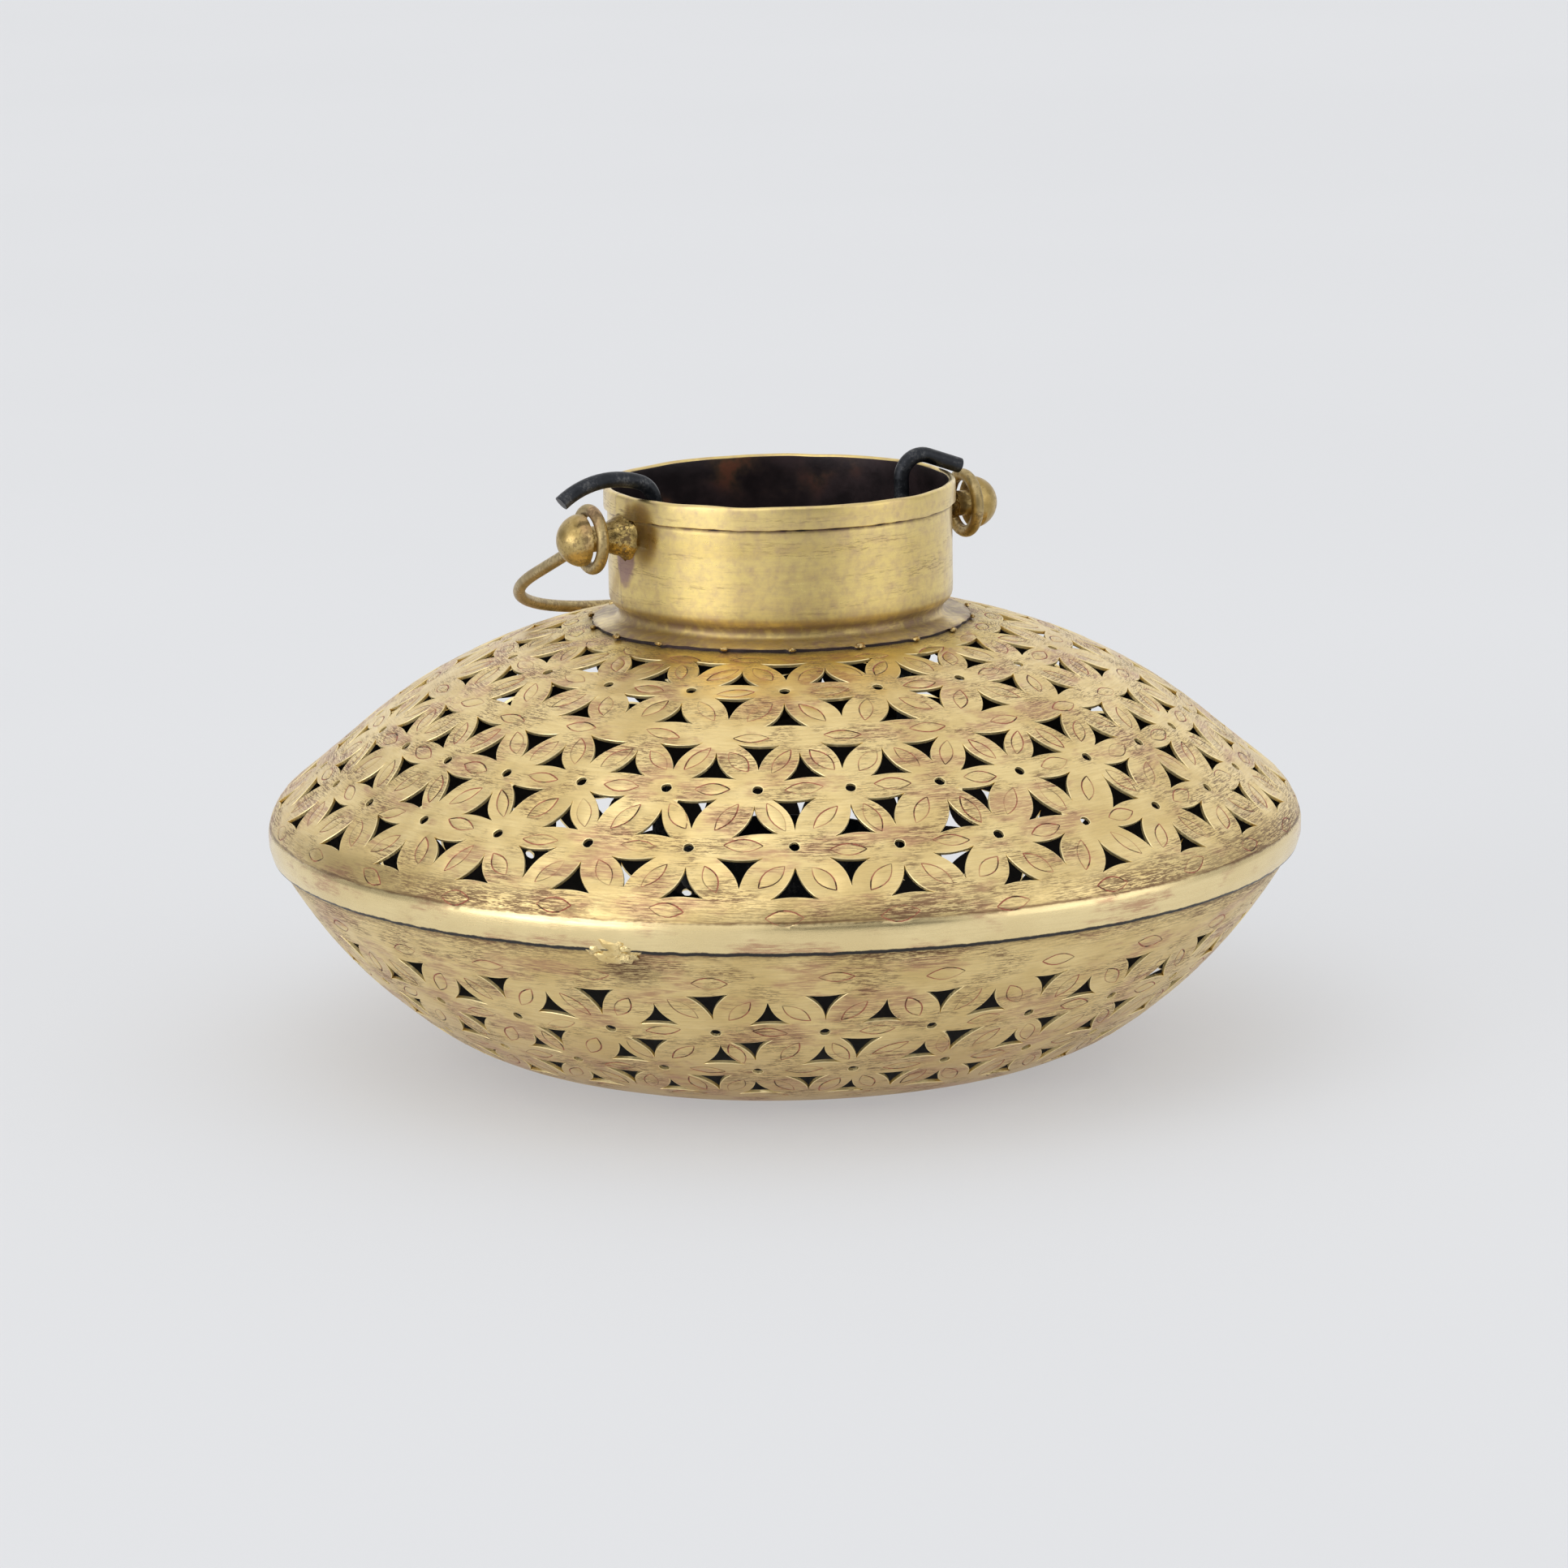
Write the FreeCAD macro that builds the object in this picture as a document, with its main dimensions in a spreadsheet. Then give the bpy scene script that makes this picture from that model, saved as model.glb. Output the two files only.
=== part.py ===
import FreeCAD, Part
import math
import os
import Sketcher

# Hanging lantern: two pierced spun-brass shells, a rolled neck collar with two studs, a wire bail that
# turns on the studs, and a lift-out wire holder with a candle cup. +Z up, base on z = 0, the studs along X.

V = FreeCAD.Vector

DIMENSIONS = [
    ("sheet_gauge", 0.8),
    ("widest_radius", 127.5),
    ("widest_height", 54.9),
    ("corner_radius", 12.2),
    ("dome_radius", 123.1),
    ("dome_centre_reach", 26.8),
    ("dome_centre_drop", 15.7),
    ("skirt_edge_height", 50.4),
    ("mouth_radius", 40.0),
    ("base_flat_radius", 58.0),
    ("foot_arc_radius", 54.2),
    ("bowl_radius", 121.0),
    ("lip_radius", 125.6),
    ("lip_top", 56.5),
    ("collar_radius", 42.3),
    ("collar_top", 140.2),
    ("hem_radius", 43.2),
    ("hem_height", 5.6),
    ("roll_radius", 3.0),
    ("roll_height", 113.1),
    ("roll_turn", 60.0),
    ("groove_radius", 1.6),
    ("groove_turn", 262.0),
    ("flange_radius", 46.7),
    ("stud_height", 130.0),
    ("shank_radius", 3.15),
    ("head_radius", 6.35),
    ("head_back", 53.6),
    ("head_edge", 1.4),
    ("head_dome", 5.0),
    ("braze_radius", 6.2),
    ("braze_reach", 3.4),
    ("braze_thin_end", 0.3),
    ("braze_root", 1.0),
    ("bail_wire_radius", 1.5),
    ("bail_half_span", 51.5),
    ("bail_leg", 35.0),
    ("bail_eye_radius", 7.1),
    ("bail_rest_droop", 22.1),
    ("holder_wire_radius", 1.9),
    ("holder_shift", 4.6),
    ("holder_left", 36.5),
    ("holder_right", 31.5),
    ("holder_bar_height", 38.0),
    ("holder_bend", 8.0),
    ("hook_bend", 5.5),
    ("hook_centre_height", 138.4),
    ("left_hook_sweep", 22.0),
    ("left_hook_rise", 20.0),
    ("left_hook_fall", 38.0),
    ("right_hook_fall", 20.0),
    ("right_hook_tail", 9.5),
    ("cup_radius", 26.0),
    ("cup_depth", 12.0),
    ("cup_corner", 2.5),
    ("weld_offset", 15.0),
    ("row_spacing", 17.6),
    ("hole_reach", 5.6),
    ("hole_hollow", 1.25),
    ("centre_hole_radius", 1.25),
    ("tack_length", 5.5),
    ("tack_height", 4.0),
    ("tack_swell", 2.6),
    ("tack_bite", 1.0),
    ("solder_radius", 0.8),
    ("solder_gap", 0.1),
]

# Three bands of flowers round the shells. Each band starts with a row of flower centres on a circle of the
# given radius, and its rows follow one spacing apart along the surface. A row is how many flowers it has and
# the bearing of one of them in degrees, measured from the front (-Y) towards +X.
NECK_BAND = (67.9, ((19, -26.6),))
DOME_BAND = (99.7, ((29, -30.5), (29, -25.9)))
BOWL_BAND = (109.3, ((27, -22.5), (27, -31.3)))

TACK_BEARINGS = (-45.5, 74.5, 194.5)
TACK_DROP = 0.6
SOLDER_COUNT = 18
SOLDER_BEARING = -44.6
HALVINGS = 50

doc = FreeCAD.newDocument("lantern")


def make_sheet():
    sheet = doc.addObject("Spreadsheet::Sheet", "dims")
    for row, (alias, value) in enumerate(DIMENSIONS, start=1):
        sheet.set("A%d" % row, alias)
        sheet.set("B%d" % row, str(value))
        sheet.setAlias("B%d" % row, alias)
    doc.recompute()
    return sheet


sheet = make_sheet()


def dim(alias):
    return float(sheet.get(alias))


# Sketch outlines

def line(start, end):
    return {"geometry": Part.LineSegment(V(*start, 0), V(*end, 0)), "ends": (1, 2)}


def arc(centre, radius, from_deg, to_deg):
    """An arc from one bearing to another, anticlockwise when the second is the larger."""
    circle = Part.Circle(V(*centre, 0), V(0, 0, 1), radius)
    low, high = sorted((from_deg, to_deg))
    ends = (1, 2) if to_deg > from_deg else (2, 1)
    return {"geometry": Part.ArcOfCircle(circle, math.radians(low), math.radians(high)), "ends": ends}


def polar(centre, radius, degrees):
    turn = math.radians(degrees)
    return (centre[0] + radius * math.cos(turn), centre[1] + radius * math.sin(turn))


def add_body(name):
    body = doc.addObject("PartDesign::Body", name)
    body.Label = name
    return body


def add_sketch(body, name, role):
    sketch = body.newObject("Sketcher::SketchObject", name)
    plane = [item for item in body.Origin.OriginFeatures if item.Role == role][0]
    sketch.AttachmentSupport = [(plane, "")]
    sketch.MapMode = "FlatFace"
    return sketch


def draw(sketch, segments, smooth=(), closed=True):
    """Add the segments end to end, and tangent at the joints that follow the listed segments."""
    numbers = [sketch.addGeometry(segment["geometry"], False) for segment in segments]
    count = len(segments) if closed else len(segments) - 1
    for i in range(count):
        after = (i + 1) % len(segments)
        kind = "Tangent" if i in smooth else "Coincident"
        sketch.addConstraint(Sketcher.Constraint(
            kind, numbers[i], segments[i]["ends"][1], numbers[after], segments[after]["ends"][0]))
    return numbers


def bind(sketch, name, expression, *constraint):
    """Add one dimension to a sketch and drive it from the sheet."""
    number = sketch.addConstraint(Sketcher.Constraint(*constraint))
    sketch.renameConstraint(number, name)
    sketch.setExpression("Constraints." + name, expression)


def bind_radius(sketch, name, expression, geometry):
    value = sketch.Geometry[geometry].Radius
    bind(sketch, name, expression, "Radius", geometry, value)


def bind_point(sketch, name, geometry, point, across=None, up=None):
    """Hold one point of a sketch at sheet-driven distances from the sketch origin."""
    place = sketch.getPoint(geometry, point)
    if across is not None:
        bind(sketch, name + "_across", across, "DistanceX", -1, 1, geometry, point, place.x)
    if up is not None:
        bind(sketch, name + "_up", up, "DistanceY", -1, 1, geometry, point, place.y)


def revolve(body, sketch, name, axis="V_Axis"):
    feature = body.newObject("PartDesign::Revolution", name)
    feature.Profile = sketch
    feature.ReferenceAxis = (sketch, [axis])
    feature.Angle = 360
    return feature


def pipe(body, profile, spine, name):
    feature = body.newObject("PartDesign::AdditivePipe", name)
    feature.Profile = profile
    feature.Spine = spine
    return feature


# Meridians: the outer outline of each shell, from the axis outwards, as runs that can be walked

def dome_meridian():
    centre = (dim("dome_centre_reach"), -dim("dome_centre_drop"))
    corner = (dim("widest_radius") - dim("corner_radius"), dim("widest_height"))
    across = corner[0] - centre[0]
    up = corner[1] - centre[1]
    spare = math.acos((dim("dome_radius") - dim("corner_radius")) / math.hypot(across, up))
    slope = math.degrees(math.atan2(up, across) + spare)
    mouth = math.degrees(math.acos((dim("mouth_radius") - centre[0]) / dim("dome_radius")))
    edge = math.degrees(math.asin((dim("skirt_edge_height") - corner[1]) / dim("corner_radius")))
    return {"centre": centre, "corner": corner, "slope": slope, "mouth": mouth, "edge": edge}


def bowl_meridian():
    foot = (dim("base_flat_radius"), dim("foot_arc_radius"))
    rim = (dim("lip_radius"), dim("skirt_edge_height"))
    gap = math.hypot(rim[0] - foot[0], rim[1] - foot[1])
    reach = dim("bowl_radius") - dim("foot_arc_radius")
    cosine = (reach ** 2 + gap ** 2 - dim("bowl_radius") ** 2) / (2 * reach * gap)
    turn = math.atan2(rim[1] - foot[1], rim[0] - foot[0]) + math.acos(cosine)
    centre = polar(foot, reach, math.degrees(turn))
    join = math.degrees(math.atan2(foot[1] - centre[1], foot[0] - centre[0]))
    end = math.degrees(math.atan2(rim[1] - centre[1], rim[0] - centre[0]))
    return {"foot": foot, "centre": centre, "join": join, "end": end}


def dome_runs():
    """The dome from the mouth outwards to its corner: an arc, then a straight flank."""
    shape = dome_meridian()
    start = polar(shape["centre"], dim("dome_radius"), shape["slope"])
    end = polar(shape["corner"], dim("corner_radius"), shape["slope"])
    return [
        ("arc", shape["centre"], dim("dome_radius"), shape["mouth"], shape["slope"]),
        ("line", start, end, shape["slope"]),
    ]


def bowl_runs():
    """The bowl from the rim inwards to the flat base: two arcs."""
    shape = bowl_meridian()
    return [
        ("arc", shape["centre"], dim("bowl_radius"), shape["end"], shape["join"]),
        ("arc", shape["foot"], dim("foot_arc_radius"), shape["join"], -90.0),
    ]


def run_length(run):
    if run[0] == "arc":
        return run[2] * math.radians(abs(run[4] - run[3]))
    return math.dist(run[1], run[2])


def walk(runs, distance):
    """The point and the outward bearing of the surface at a distance along the runs."""
    for run in runs:
        length = run_length(run)
        if distance <= length or run is runs[-1]:
            break
        distance -= length
    share = distance / length
    if run[0] == "arc":
        bearing = run[3] + (run[4] - run[3]) * share
        return polar(run[1], run[2], bearing), bearing
    point = (run[1][0] + (run[2][0] - run[1][0]) * share, run[1][1] + (run[2][1] - run[1][1]) * share)
    return point, run[3]


def distance_to(runs, radius):
    """How far along the runs the surface reaches a radius."""
    low = 0.0
    high = sum(run_length(run) for run in runs)
    outwards = walk(runs, high)[0][0] > walk(runs, low)[0][0]
    for _ in range(HALVINGS):
        middle = (low + high) / 2
        if (walk(runs, middle)[0][0] < radius) == outwards:
            low = middle
        else:
            high = middle
    return (low + high) / 2


# Piercings

def on_surface(runs, distance, bearing_deg):
    """A placement whose Z leaves the surface and whose Y runs back along the meridian."""
    (radius, height), lean = walk(runs, distance)
    lean_rad = math.radians(lean)
    out = V(math.cos(lean_rad), 0, math.sin(lean_rad))
    side = V(0, 1, 0)
    back = out.cross(side)
    matrix = FreeCAD.Matrix(
        side.x, back.x, out.x, radius, side.y, back.y, out.y, 0, side.z, back.z, out.z, height, 0, 0, 0, 1)
    turn = FreeCAD.Placement(V(0, 0, 0), FreeCAD.Rotation(V(0, 0, 1), bearing_deg - 90))
    return turn.multiply(FreeCAD.Placement(matrix))


def triangle_punch(pointing):
    """A punch with three hollow sides; its first point lies along +Y or -Y."""
    depth = 4 * dim("sheet_gauge")
    corners = [V(*polar((0, 0), dim("hole_reach"), pointing * 90 + 120 * i), -depth) for i in range(3)]
    edges = []
    for i in range(3):
        start = corners[i]
        end = corners[(i + 1) % 3]
        middle = (start + end) * 0.5
        flat = V(middle.x, middle.y, 0)
        flat = flat * (1 - dim("hole_hollow") / flat.Length)
        edges.append(Part.Arc(start, V(flat.x, flat.y, -depth), end).toShape())
    return Part.Face(Part.Wire(edges)).extrude(V(0, 0, 2 * depth))


def round_punch():
    depth = 4 * dim("sheet_gauge")
    return Part.makeCylinder(dim("centre_hole_radius"), 2 * depth, V(0, 0, -depth))


def lattice(runs, band):
    """Punches of one band: round ones at the flowers' centres, three-cornered ones in the strips beside."""
    first_radius, rows = band
    spacing = dim("row_spacing")
    start = distance_to(runs, first_radius)
    plan = []
    for index, (count, first_bearing) in enumerate(rows):
        centre = start + index * spacing
        for k in range(count):
            bearing = first_bearing + 360.0 * k / count
            between = bearing + 180.0 / count
            plan.append((round_punch(), centre, bearing))
            plan.append((triangle_punch(-1), centre - spacing * 2 / 3, bearing))
            plan.append((triangle_punch(1), centre + spacing * 2 / 3, bearing))
            if index == 0:
                plan.append((triangle_punch(1), centre - spacing / 3, between))
            if index == len(rows) - 1:
                plan.append((triangle_punch(-1), centre + spacing / 3, between))
    punches = []
    for punch, distance, bearing in plan:
        punch.Placement = on_surface(runs, distance, bearing)
        punches.append(punch)
    return punches


def pierce(name, blank, punches):
    """Cut the punches out of a blank. The punches are shapes, because primitives have no hollow sides."""
    tool = doc.addObject("Part::Feature", name + "_punches")
    tool.Shape = Part.makeCompound(punches)
    cut = doc.addObject("Part::Cut", name)
    cut.Label = name
    cut.Base = blank
    cut.Tool = tool
    return cut


# Shells

def upper_blank():
    body = add_body("upper_blank")
    sketch = add_sketch(body, "dome_outline", "XZ_Plane")
    shape = dome_meridian()
    gauge = dim("sheet_gauge")
    outer = dim("dome_radius")
    inner = outer - gauge
    bend = dim("corner_radius")
    centre, corner, slope = shape["centre"], shape["corner"], shape["slope"]
    mouth, edge = shape["mouth"], shape["edge"]
    inner_mouth = math.degrees(math.acos((dim("mouth_radius") - centre[0]) / inner))
    inner_edge = math.degrees(math.asin((dim("skirt_edge_height") - corner[1]) / (bend - gauge)))
    numbers = draw(sketch, [
        arc(centre, outer, mouth, slope),
        line(polar(centre, outer, slope), polar(corner, bend, slope)),
        arc(corner, bend, slope, edge),
        line(polar(corner, bend, edge), polar(corner, bend - gauge, inner_edge)),
        arc(corner, bend - gauge, inner_edge, slope),
        line(polar(corner, bend - gauge, slope), polar(centre, inner, slope)),
        arc(centre, inner, slope, inner_mouth),
        line(polar(centre, inner, inner_mouth), polar(centre, outer, mouth)),
    ], smooth=(0, 1, 4, 5))
    dome, _, corner_arc, edge_line, corner_inner, _, dome_inner, mouth_line = numbers
    sketch.addConstraint(Sketcher.Constraint("Coincident", dome, 3, dome_inner, 3))
    sketch.addConstraint(Sketcher.Constraint("Coincident", corner_arc, 3, corner_inner, 3))
    bind_radius(sketch, "dome", "dims.dome_radius", dome)
    bind_radius(sketch, "dome_inside", "dims.dome_radius - dims.sheet_gauge", dome_inner)
    bind_radius(sketch, "corner", "dims.corner_radius", corner_arc)
    bind_radius(sketch, "corner_inside", "dims.corner_radius - dims.sheet_gauge", corner_inner)
    bind_point(sketch, "dome_centre", dome, 3, "dims.dome_centre_reach", "-dims.dome_centre_drop")
    bind_point(sketch, "corner_centre", corner_arc, 3, "dims.widest_radius - dims.corner_radius",
               "dims.widest_height")
    bind_point(sketch, "mouth", mouth_line, 1, across="dims.mouth_radius")
    bind_point(sketch, "mouth_top", mouth_line, 2, across="dims.mouth_radius")
    bind_point(sketch, "edge", edge_line, 1, up="dims.skirt_edge_height")
    bind_point(sketch, "edge_inside", edge_line, 2, up="dims.skirt_edge_height")
    revolve(body, sketch, "dome_spin")
    return body


def lower_blank():
    body = add_body("lower_blank")
    sketch = add_sketch(body, "bowl_outline", "XZ_Plane")
    shape = bowl_meridian()
    gauge = dim("sheet_gauge")
    foot, centre, join, end = shape["foot"], shape["centre"], shape["join"], shape["end"]
    foot_radius = dim("foot_arc_radius")
    bowl_radius = dim("bowl_radius")
    lip = dim("lip_radius")
    top = dim("lip_top")
    inner_end = -math.degrees(math.acos((lip - gauge - centre[0]) / (bowl_radius - gauge)))
    numbers = draw(sketch, [
        line((0, 0), (foot[0], 0)),
        arc(foot, foot_radius, -90, join),
        arc(centre, bowl_radius, join, end),
        line((lip, dim("skirt_edge_height")), (lip, top)),
        line((lip, top), (lip - gauge, top)),
        line((lip - gauge, top), polar(centre, bowl_radius - gauge, inner_end)),
        arc(centre, bowl_radius - gauge, inner_end, join),
        arc(foot, foot_radius - gauge, join, -90),
        line((foot[0], gauge), (0, gauge)),
        line((0, gauge), (0, 0)),
    ], smooth=(0, 1, 6, 7))
    base, foot_arc, bowl, lip_out, lip_edge, lip_in, bowl_in, foot_in, base_in, axis = numbers
    sketch.addConstraint(Sketcher.Constraint("Coincident", base, 1, -1, 1))
    sketch.addConstraint(Sketcher.Constraint("Coincident", foot_arc, 3, foot_in, 3))
    sketch.addConstraint(Sketcher.Constraint("Horizontal", bowl, 3, bowl_in, 3))
    for level in (base, lip_edge, base_in):
        sketch.addConstraint(Sketcher.Constraint("Horizontal", level))
    for upright in (lip_out, lip_in, axis):
        sketch.addConstraint(Sketcher.Constraint("Vertical", upright))
    bind_radius(sketch, "foot", "dims.foot_arc_radius", foot_arc)
    bind_radius(sketch, "foot_inside", "dims.foot_arc_radius - dims.sheet_gauge", foot_in)
    bind_radius(sketch, "bowl", "dims.bowl_radius", bowl)
    bind_radius(sketch, "bowl_inside", "dims.bowl_radius - dims.sheet_gauge", bowl_in)
    bind_point(sketch, "base_edge", base, 2, across="dims.base_flat_radius")
    bind_point(sketch, "lip", lip_out, 1, "dims.lip_radius", "dims.skirt_edge_height")
    bind_point(sketch, "lip_top", lip_out, 2, up="dims.lip_top")
    bind_point(sketch, "lip_inside", lip_in, 1, across="dims.lip_radius - dims.sheet_gauge")
    revolve(body, sketch, "bowl_spin")
    return body


def shell_core():
    """The solid that the two shells wrap round, used only to trim what is soldered on to them."""
    body = add_body("shell_core")
    sketch = add_sketch(body, "core_outline", "XZ_Plane")
    dome = dome_meridian()
    bowl = bowl_meridian()
    edge = polar(dome["corner"], dim("corner_radius"), dome["edge"])
    shoulder = polar(dome["corner"], dim("corner_radius"), dome["slope"])
    draw(sketch, [
        line((0, 0), (bowl["foot"][0], 0)),
        arc(bowl["foot"], dim("foot_arc_radius"), -90, bowl["join"]),
        arc(bowl["centre"], dim("bowl_radius"), bowl["join"], bowl["end"]),
        line((dim("lip_radius"), dim("skirt_edge_height")), edge),
        arc(dome["corner"], dim("corner_radius"), dome["edge"], dome["slope"]),
        line(shoulder, (0, shoulder[1])),
        line((0, shoulder[1]), (0, 0)),
    ])
    revolve(body, sketch, "core_spin")
    return body


def seam_tacks(core):
    """Three lumps of solder across the seam."""
    lumps = []
    reach = dim("lip_radius")
    for number, bearing in enumerate(TACK_BEARINGS):
        lump = doc.addObject("Part::Ellipsoid", "tack_%d" % number)
        lump.setExpression("Radius1", "dims.tack_height")
        lump.setExpression("Radius2", "dims.tack_swell")
        lump.setExpression("Radius3", "dims.tack_length")
        turn = FreeCAD.Rotation(V(0, 0, 1), bearing - 90)
        height = dim("skirt_edge_height") - dim("tack_height") * TACK_DROP
        lump.Placement = FreeCAD.Placement(turn.multVec(V(reach - dim("tack_bite"), 0, height)), turn)
        lumps.append(lump)
    joined = doc.addObject("Part::Compound", "tack_lumps")
    joined.Links = lumps
    cut = doc.addObject("Part::Cut", "seam_tacks")
    cut.Label = "seam_tacks"
    cut.Base = joined
    cut.Tool = core
    return cut


# Neck

def neck_collar():
    body = add_body("neck_collar")
    sketch = add_sketch(body, "collar_outline", "XZ_Plane")
    gauge = dim("sheet_gauge")
    wall = dim("collar_radius")
    hem = dim("hem_radius")
    roll = dim("roll_radius")
    groove = dim("groove_radius")
    turn = -dim("roll_turn")
    lift = dim("groove_turn")
    round_over = (hem - wall + gauge) / 2
    roll_centre = (wall - roll, dim("roll_height"))
    groove_centre = polar(roll_centre, roll + groove, turn)
    top_centre = (hem - round_over, dim("collar_top") - round_over)
    hem_foot = dim("collar_top") - dim("hem_height")
    slope = math.tan(math.radians(lift - 270))
    flange_start = polar(groove_centre, groove, lift)
    under_start = polar(groove_centre, groove + gauge, lift)
    flange = dim("flange_radius")
    flange_end = (flange, flange_start[1] + slope * (flange - flange_start[0]))
    under_end = (flange, under_start[1] + slope * (flange - under_start[0]))
    numbers = draw(sketch, [
        line(under_end, flange_end),
        line(flange_end, flange_start),
        arc(groove_centre, groove, lift, turn + 180),
        arc(roll_centre, roll, turn, 0),
        line((wall, roll_centre[1]), (wall, hem_foot)),
        line((wall, hem_foot), (hem, hem_foot)),
        line((hem, hem_foot), (hem, top_centre[1])),
        arc(top_centre, round_over, 0, 180),
        line((wall - gauge, top_centre[1]), (wall - gauge, roll_centre[1])),
        arc(roll_centre, roll - gauge, 0, turn),
        arc(groove_centre, groove + gauge, turn + 180, lift),
        line(under_start, under_end),
    ], smooth=(1, 2, 3, 6, 7, 8, 10))
    edge, _, groove_arc, roll_arc, wall_line, hem_under, hem_line, _, bore, roll_in, groove_in, _ = numbers
    sketch.addConstraint(Sketcher.Constraint("Coincident", roll_arc, 3, roll_in, 3))
    sketch.addConstraint(Sketcher.Constraint("Coincident", groove_arc, 3, groove_in, 3))
    sketch.addConstraint(Sketcher.Constraint("Vertical", edge))
    sketch.addConstraint(Sketcher.Constraint("Vertical", wall_line))
    sketch.addConstraint(Sketcher.Constraint("Vertical", hem_line))
    sketch.addConstraint(Sketcher.Constraint("Vertical", bore))
    sketch.addConstraint(Sketcher.Constraint("Horizontal", hem_under))
    bind_radius(sketch, "roll", "dims.roll_radius", roll_arc)
    bind_radius(sketch, "groove", "dims.groove_radius", groove_arc)
    bind_point(sketch, "roll_centre", roll_arc, 3, up="dims.roll_height")
    bind_point(sketch, "wall", wall_line, 2, "dims.collar_radius", "dims.collar_top - dims.hem_height")
    bind_point(sketch, "hem", hem_line, 2, across="dims.hem_radius")
    bind_point(sketch, "bore", bore, 2, across="dims.collar_radius - dims.sheet_gauge")
    bind_point(sketch, "flange", edge, 2, across="dims.flange_radius")
    revolve(body, sketch, "collar_spin")
    return body


def neck_solder():
    """A ring of small solder beads in the corner between the foot flange and the dome."""
    runs = dome_runs()
    clear = dim("solder_radius") + dim("solder_gap")
    (radius, height), _ = walk(runs, distance_to(runs, dim("flange_radius") + clear))
    beads = []
    for k in range(SOLDER_COUNT):
        bead = doc.addObject("Part::Sphere", "solder_%d" % k)
        bead.setExpression("Radius", "dims.solder_radius")
        turn = FreeCAD.Rotation(V(0, 0, 1), SOLDER_BEARING - 90 + 360.0 * k / SOLDER_COUNT)
        bead.Placement = FreeCAD.Placement(turn.multVec(V(radius, 0, height + clear)), turn)
        beads.append(bead)
    ring = doc.addObject("Part::Compound", "neck_solder")
    ring.Label = "neck_solder"
    ring.Links = beads
    return ring


# Studs and bail

def bail_stud(name, turn_deg):
    body = add_body(name)
    sketch = add_sketch(body, name + "_outline", "XZ_Plane")
    start = dim("collar_radius")
    back = dim("head_back")
    edge = back + dim("head_edge")
    tip = edge + dim("head_dome")
    shank = dim("shank_radius")
    head = dim("head_radius")
    dome = (head ** 2 + dim("head_dome") ** 2) / (2 * dim("head_dome"))
    centre = (tip - dome, 0)
    rise = math.degrees(math.atan2(head, edge - centre[0]))
    numbers = draw(sketch, [
        line((start, 0), (start, shank)),
        line((start, shank), (back, shank)),
        line((back, shank), (back, head)),
        line((back, head), (edge, head)),
        arc(centre, dome, rise, 0),
        line((tip, 0), (start, 0)),
    ])
    end, side, under, rim, _, axis = numbers
    sketch.addConstraint(Sketcher.Constraint("Vertical", end))
    sketch.addConstraint(Sketcher.Constraint("Horizontal", side))
    sketch.addConstraint(Sketcher.Constraint("Vertical", under))
    sketch.addConstraint(Sketcher.Constraint("Horizontal", rim))
    sketch.addConstraint(Sketcher.Constraint("PointOnObject", axis, 1, -1))
    sketch.addConstraint(Sketcher.Constraint("PointOnObject", axis, 2, -1))
    bind_point(sketch, "shank", side, 1, "dims.collar_radius", "dims.shank_radius")
    bind_point(sketch, "head", under, 2, "dims.head_back", "dims.head_radius")
    bind_point(sketch, "rim", rim, 2, across="dims.head_back + dims.head_edge")
    bind_point(sketch, "tip", axis, 1, across="dims.head_back + dims.head_edge + dims.head_dome")
    revolve(body, sketch, name + "_spin", "H_Axis")
    body.Placement = FreeCAD.Placement(V(0, 0, dim("stud_height")), FreeCAD.Rotation(V(0, 0, 1), turn_deg))
    return body


def stud_braze(name, turn_deg):
    """A fillet of braze round the shank, trimmed to the collar, its hem and the shank."""
    quarter = FreeCAD.Rotation(V(0, 1, 0), 90)
    spin = FreeCAD.Rotation(V(0, 0, 1), turn_deg)
    start = spin.multVec(V(dim("collar_radius") - dim("braze_root"), 0, 0)) + V(0, 0, dim("stud_height"))
    fillet = doc.addObject("Part::Cone", name + "_fillet")
    fillet.setExpression("Radius1", "dims.braze_radius")
    fillet.setExpression("Radius2", "dims.shank_radius + dims.braze_thin_end")
    fillet.setExpression("Height", "dims.braze_reach + dims.braze_root")
    fillet.Placement = FreeCAD.Placement(start, spin.multiply(quarter))
    shank = doc.addObject("Part::Cylinder", name + "_shank")
    shank.setExpression("Radius", "dims.shank_radius")
    shank.setExpression("Height", "dims.head_back - dims.collar_radius")
    shank.Placement = FreeCAD.Placement(start, spin.multiply(quarter))
    neck = doc.addObject("Part::Cylinder", name + "_neck")
    neck.setExpression("Radius", "dims.collar_radius")
    neck.setExpression("Height", "dims.collar_top")
    hem = doc.addObject("Part::Cylinder", name + "_hem")
    hem.setExpression("Radius", "dims.hem_radius")
    hem.setExpression("Height", "dims.hem_height")
    hem.Placement = FreeCAD.Placement(V(0, 0, dim("collar_top") - dim("hem_height")), FreeCAD.Rotation())
    trim = doc.addObject("Part::MultiFuse", name + "_trim")
    trim.Shapes = [shank, neck, hem]
    cut = doc.addObject("Part::Cut", name)
    cut.Label = name
    cut.Base = fillet
    cut.Tool = trim
    return cut


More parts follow.
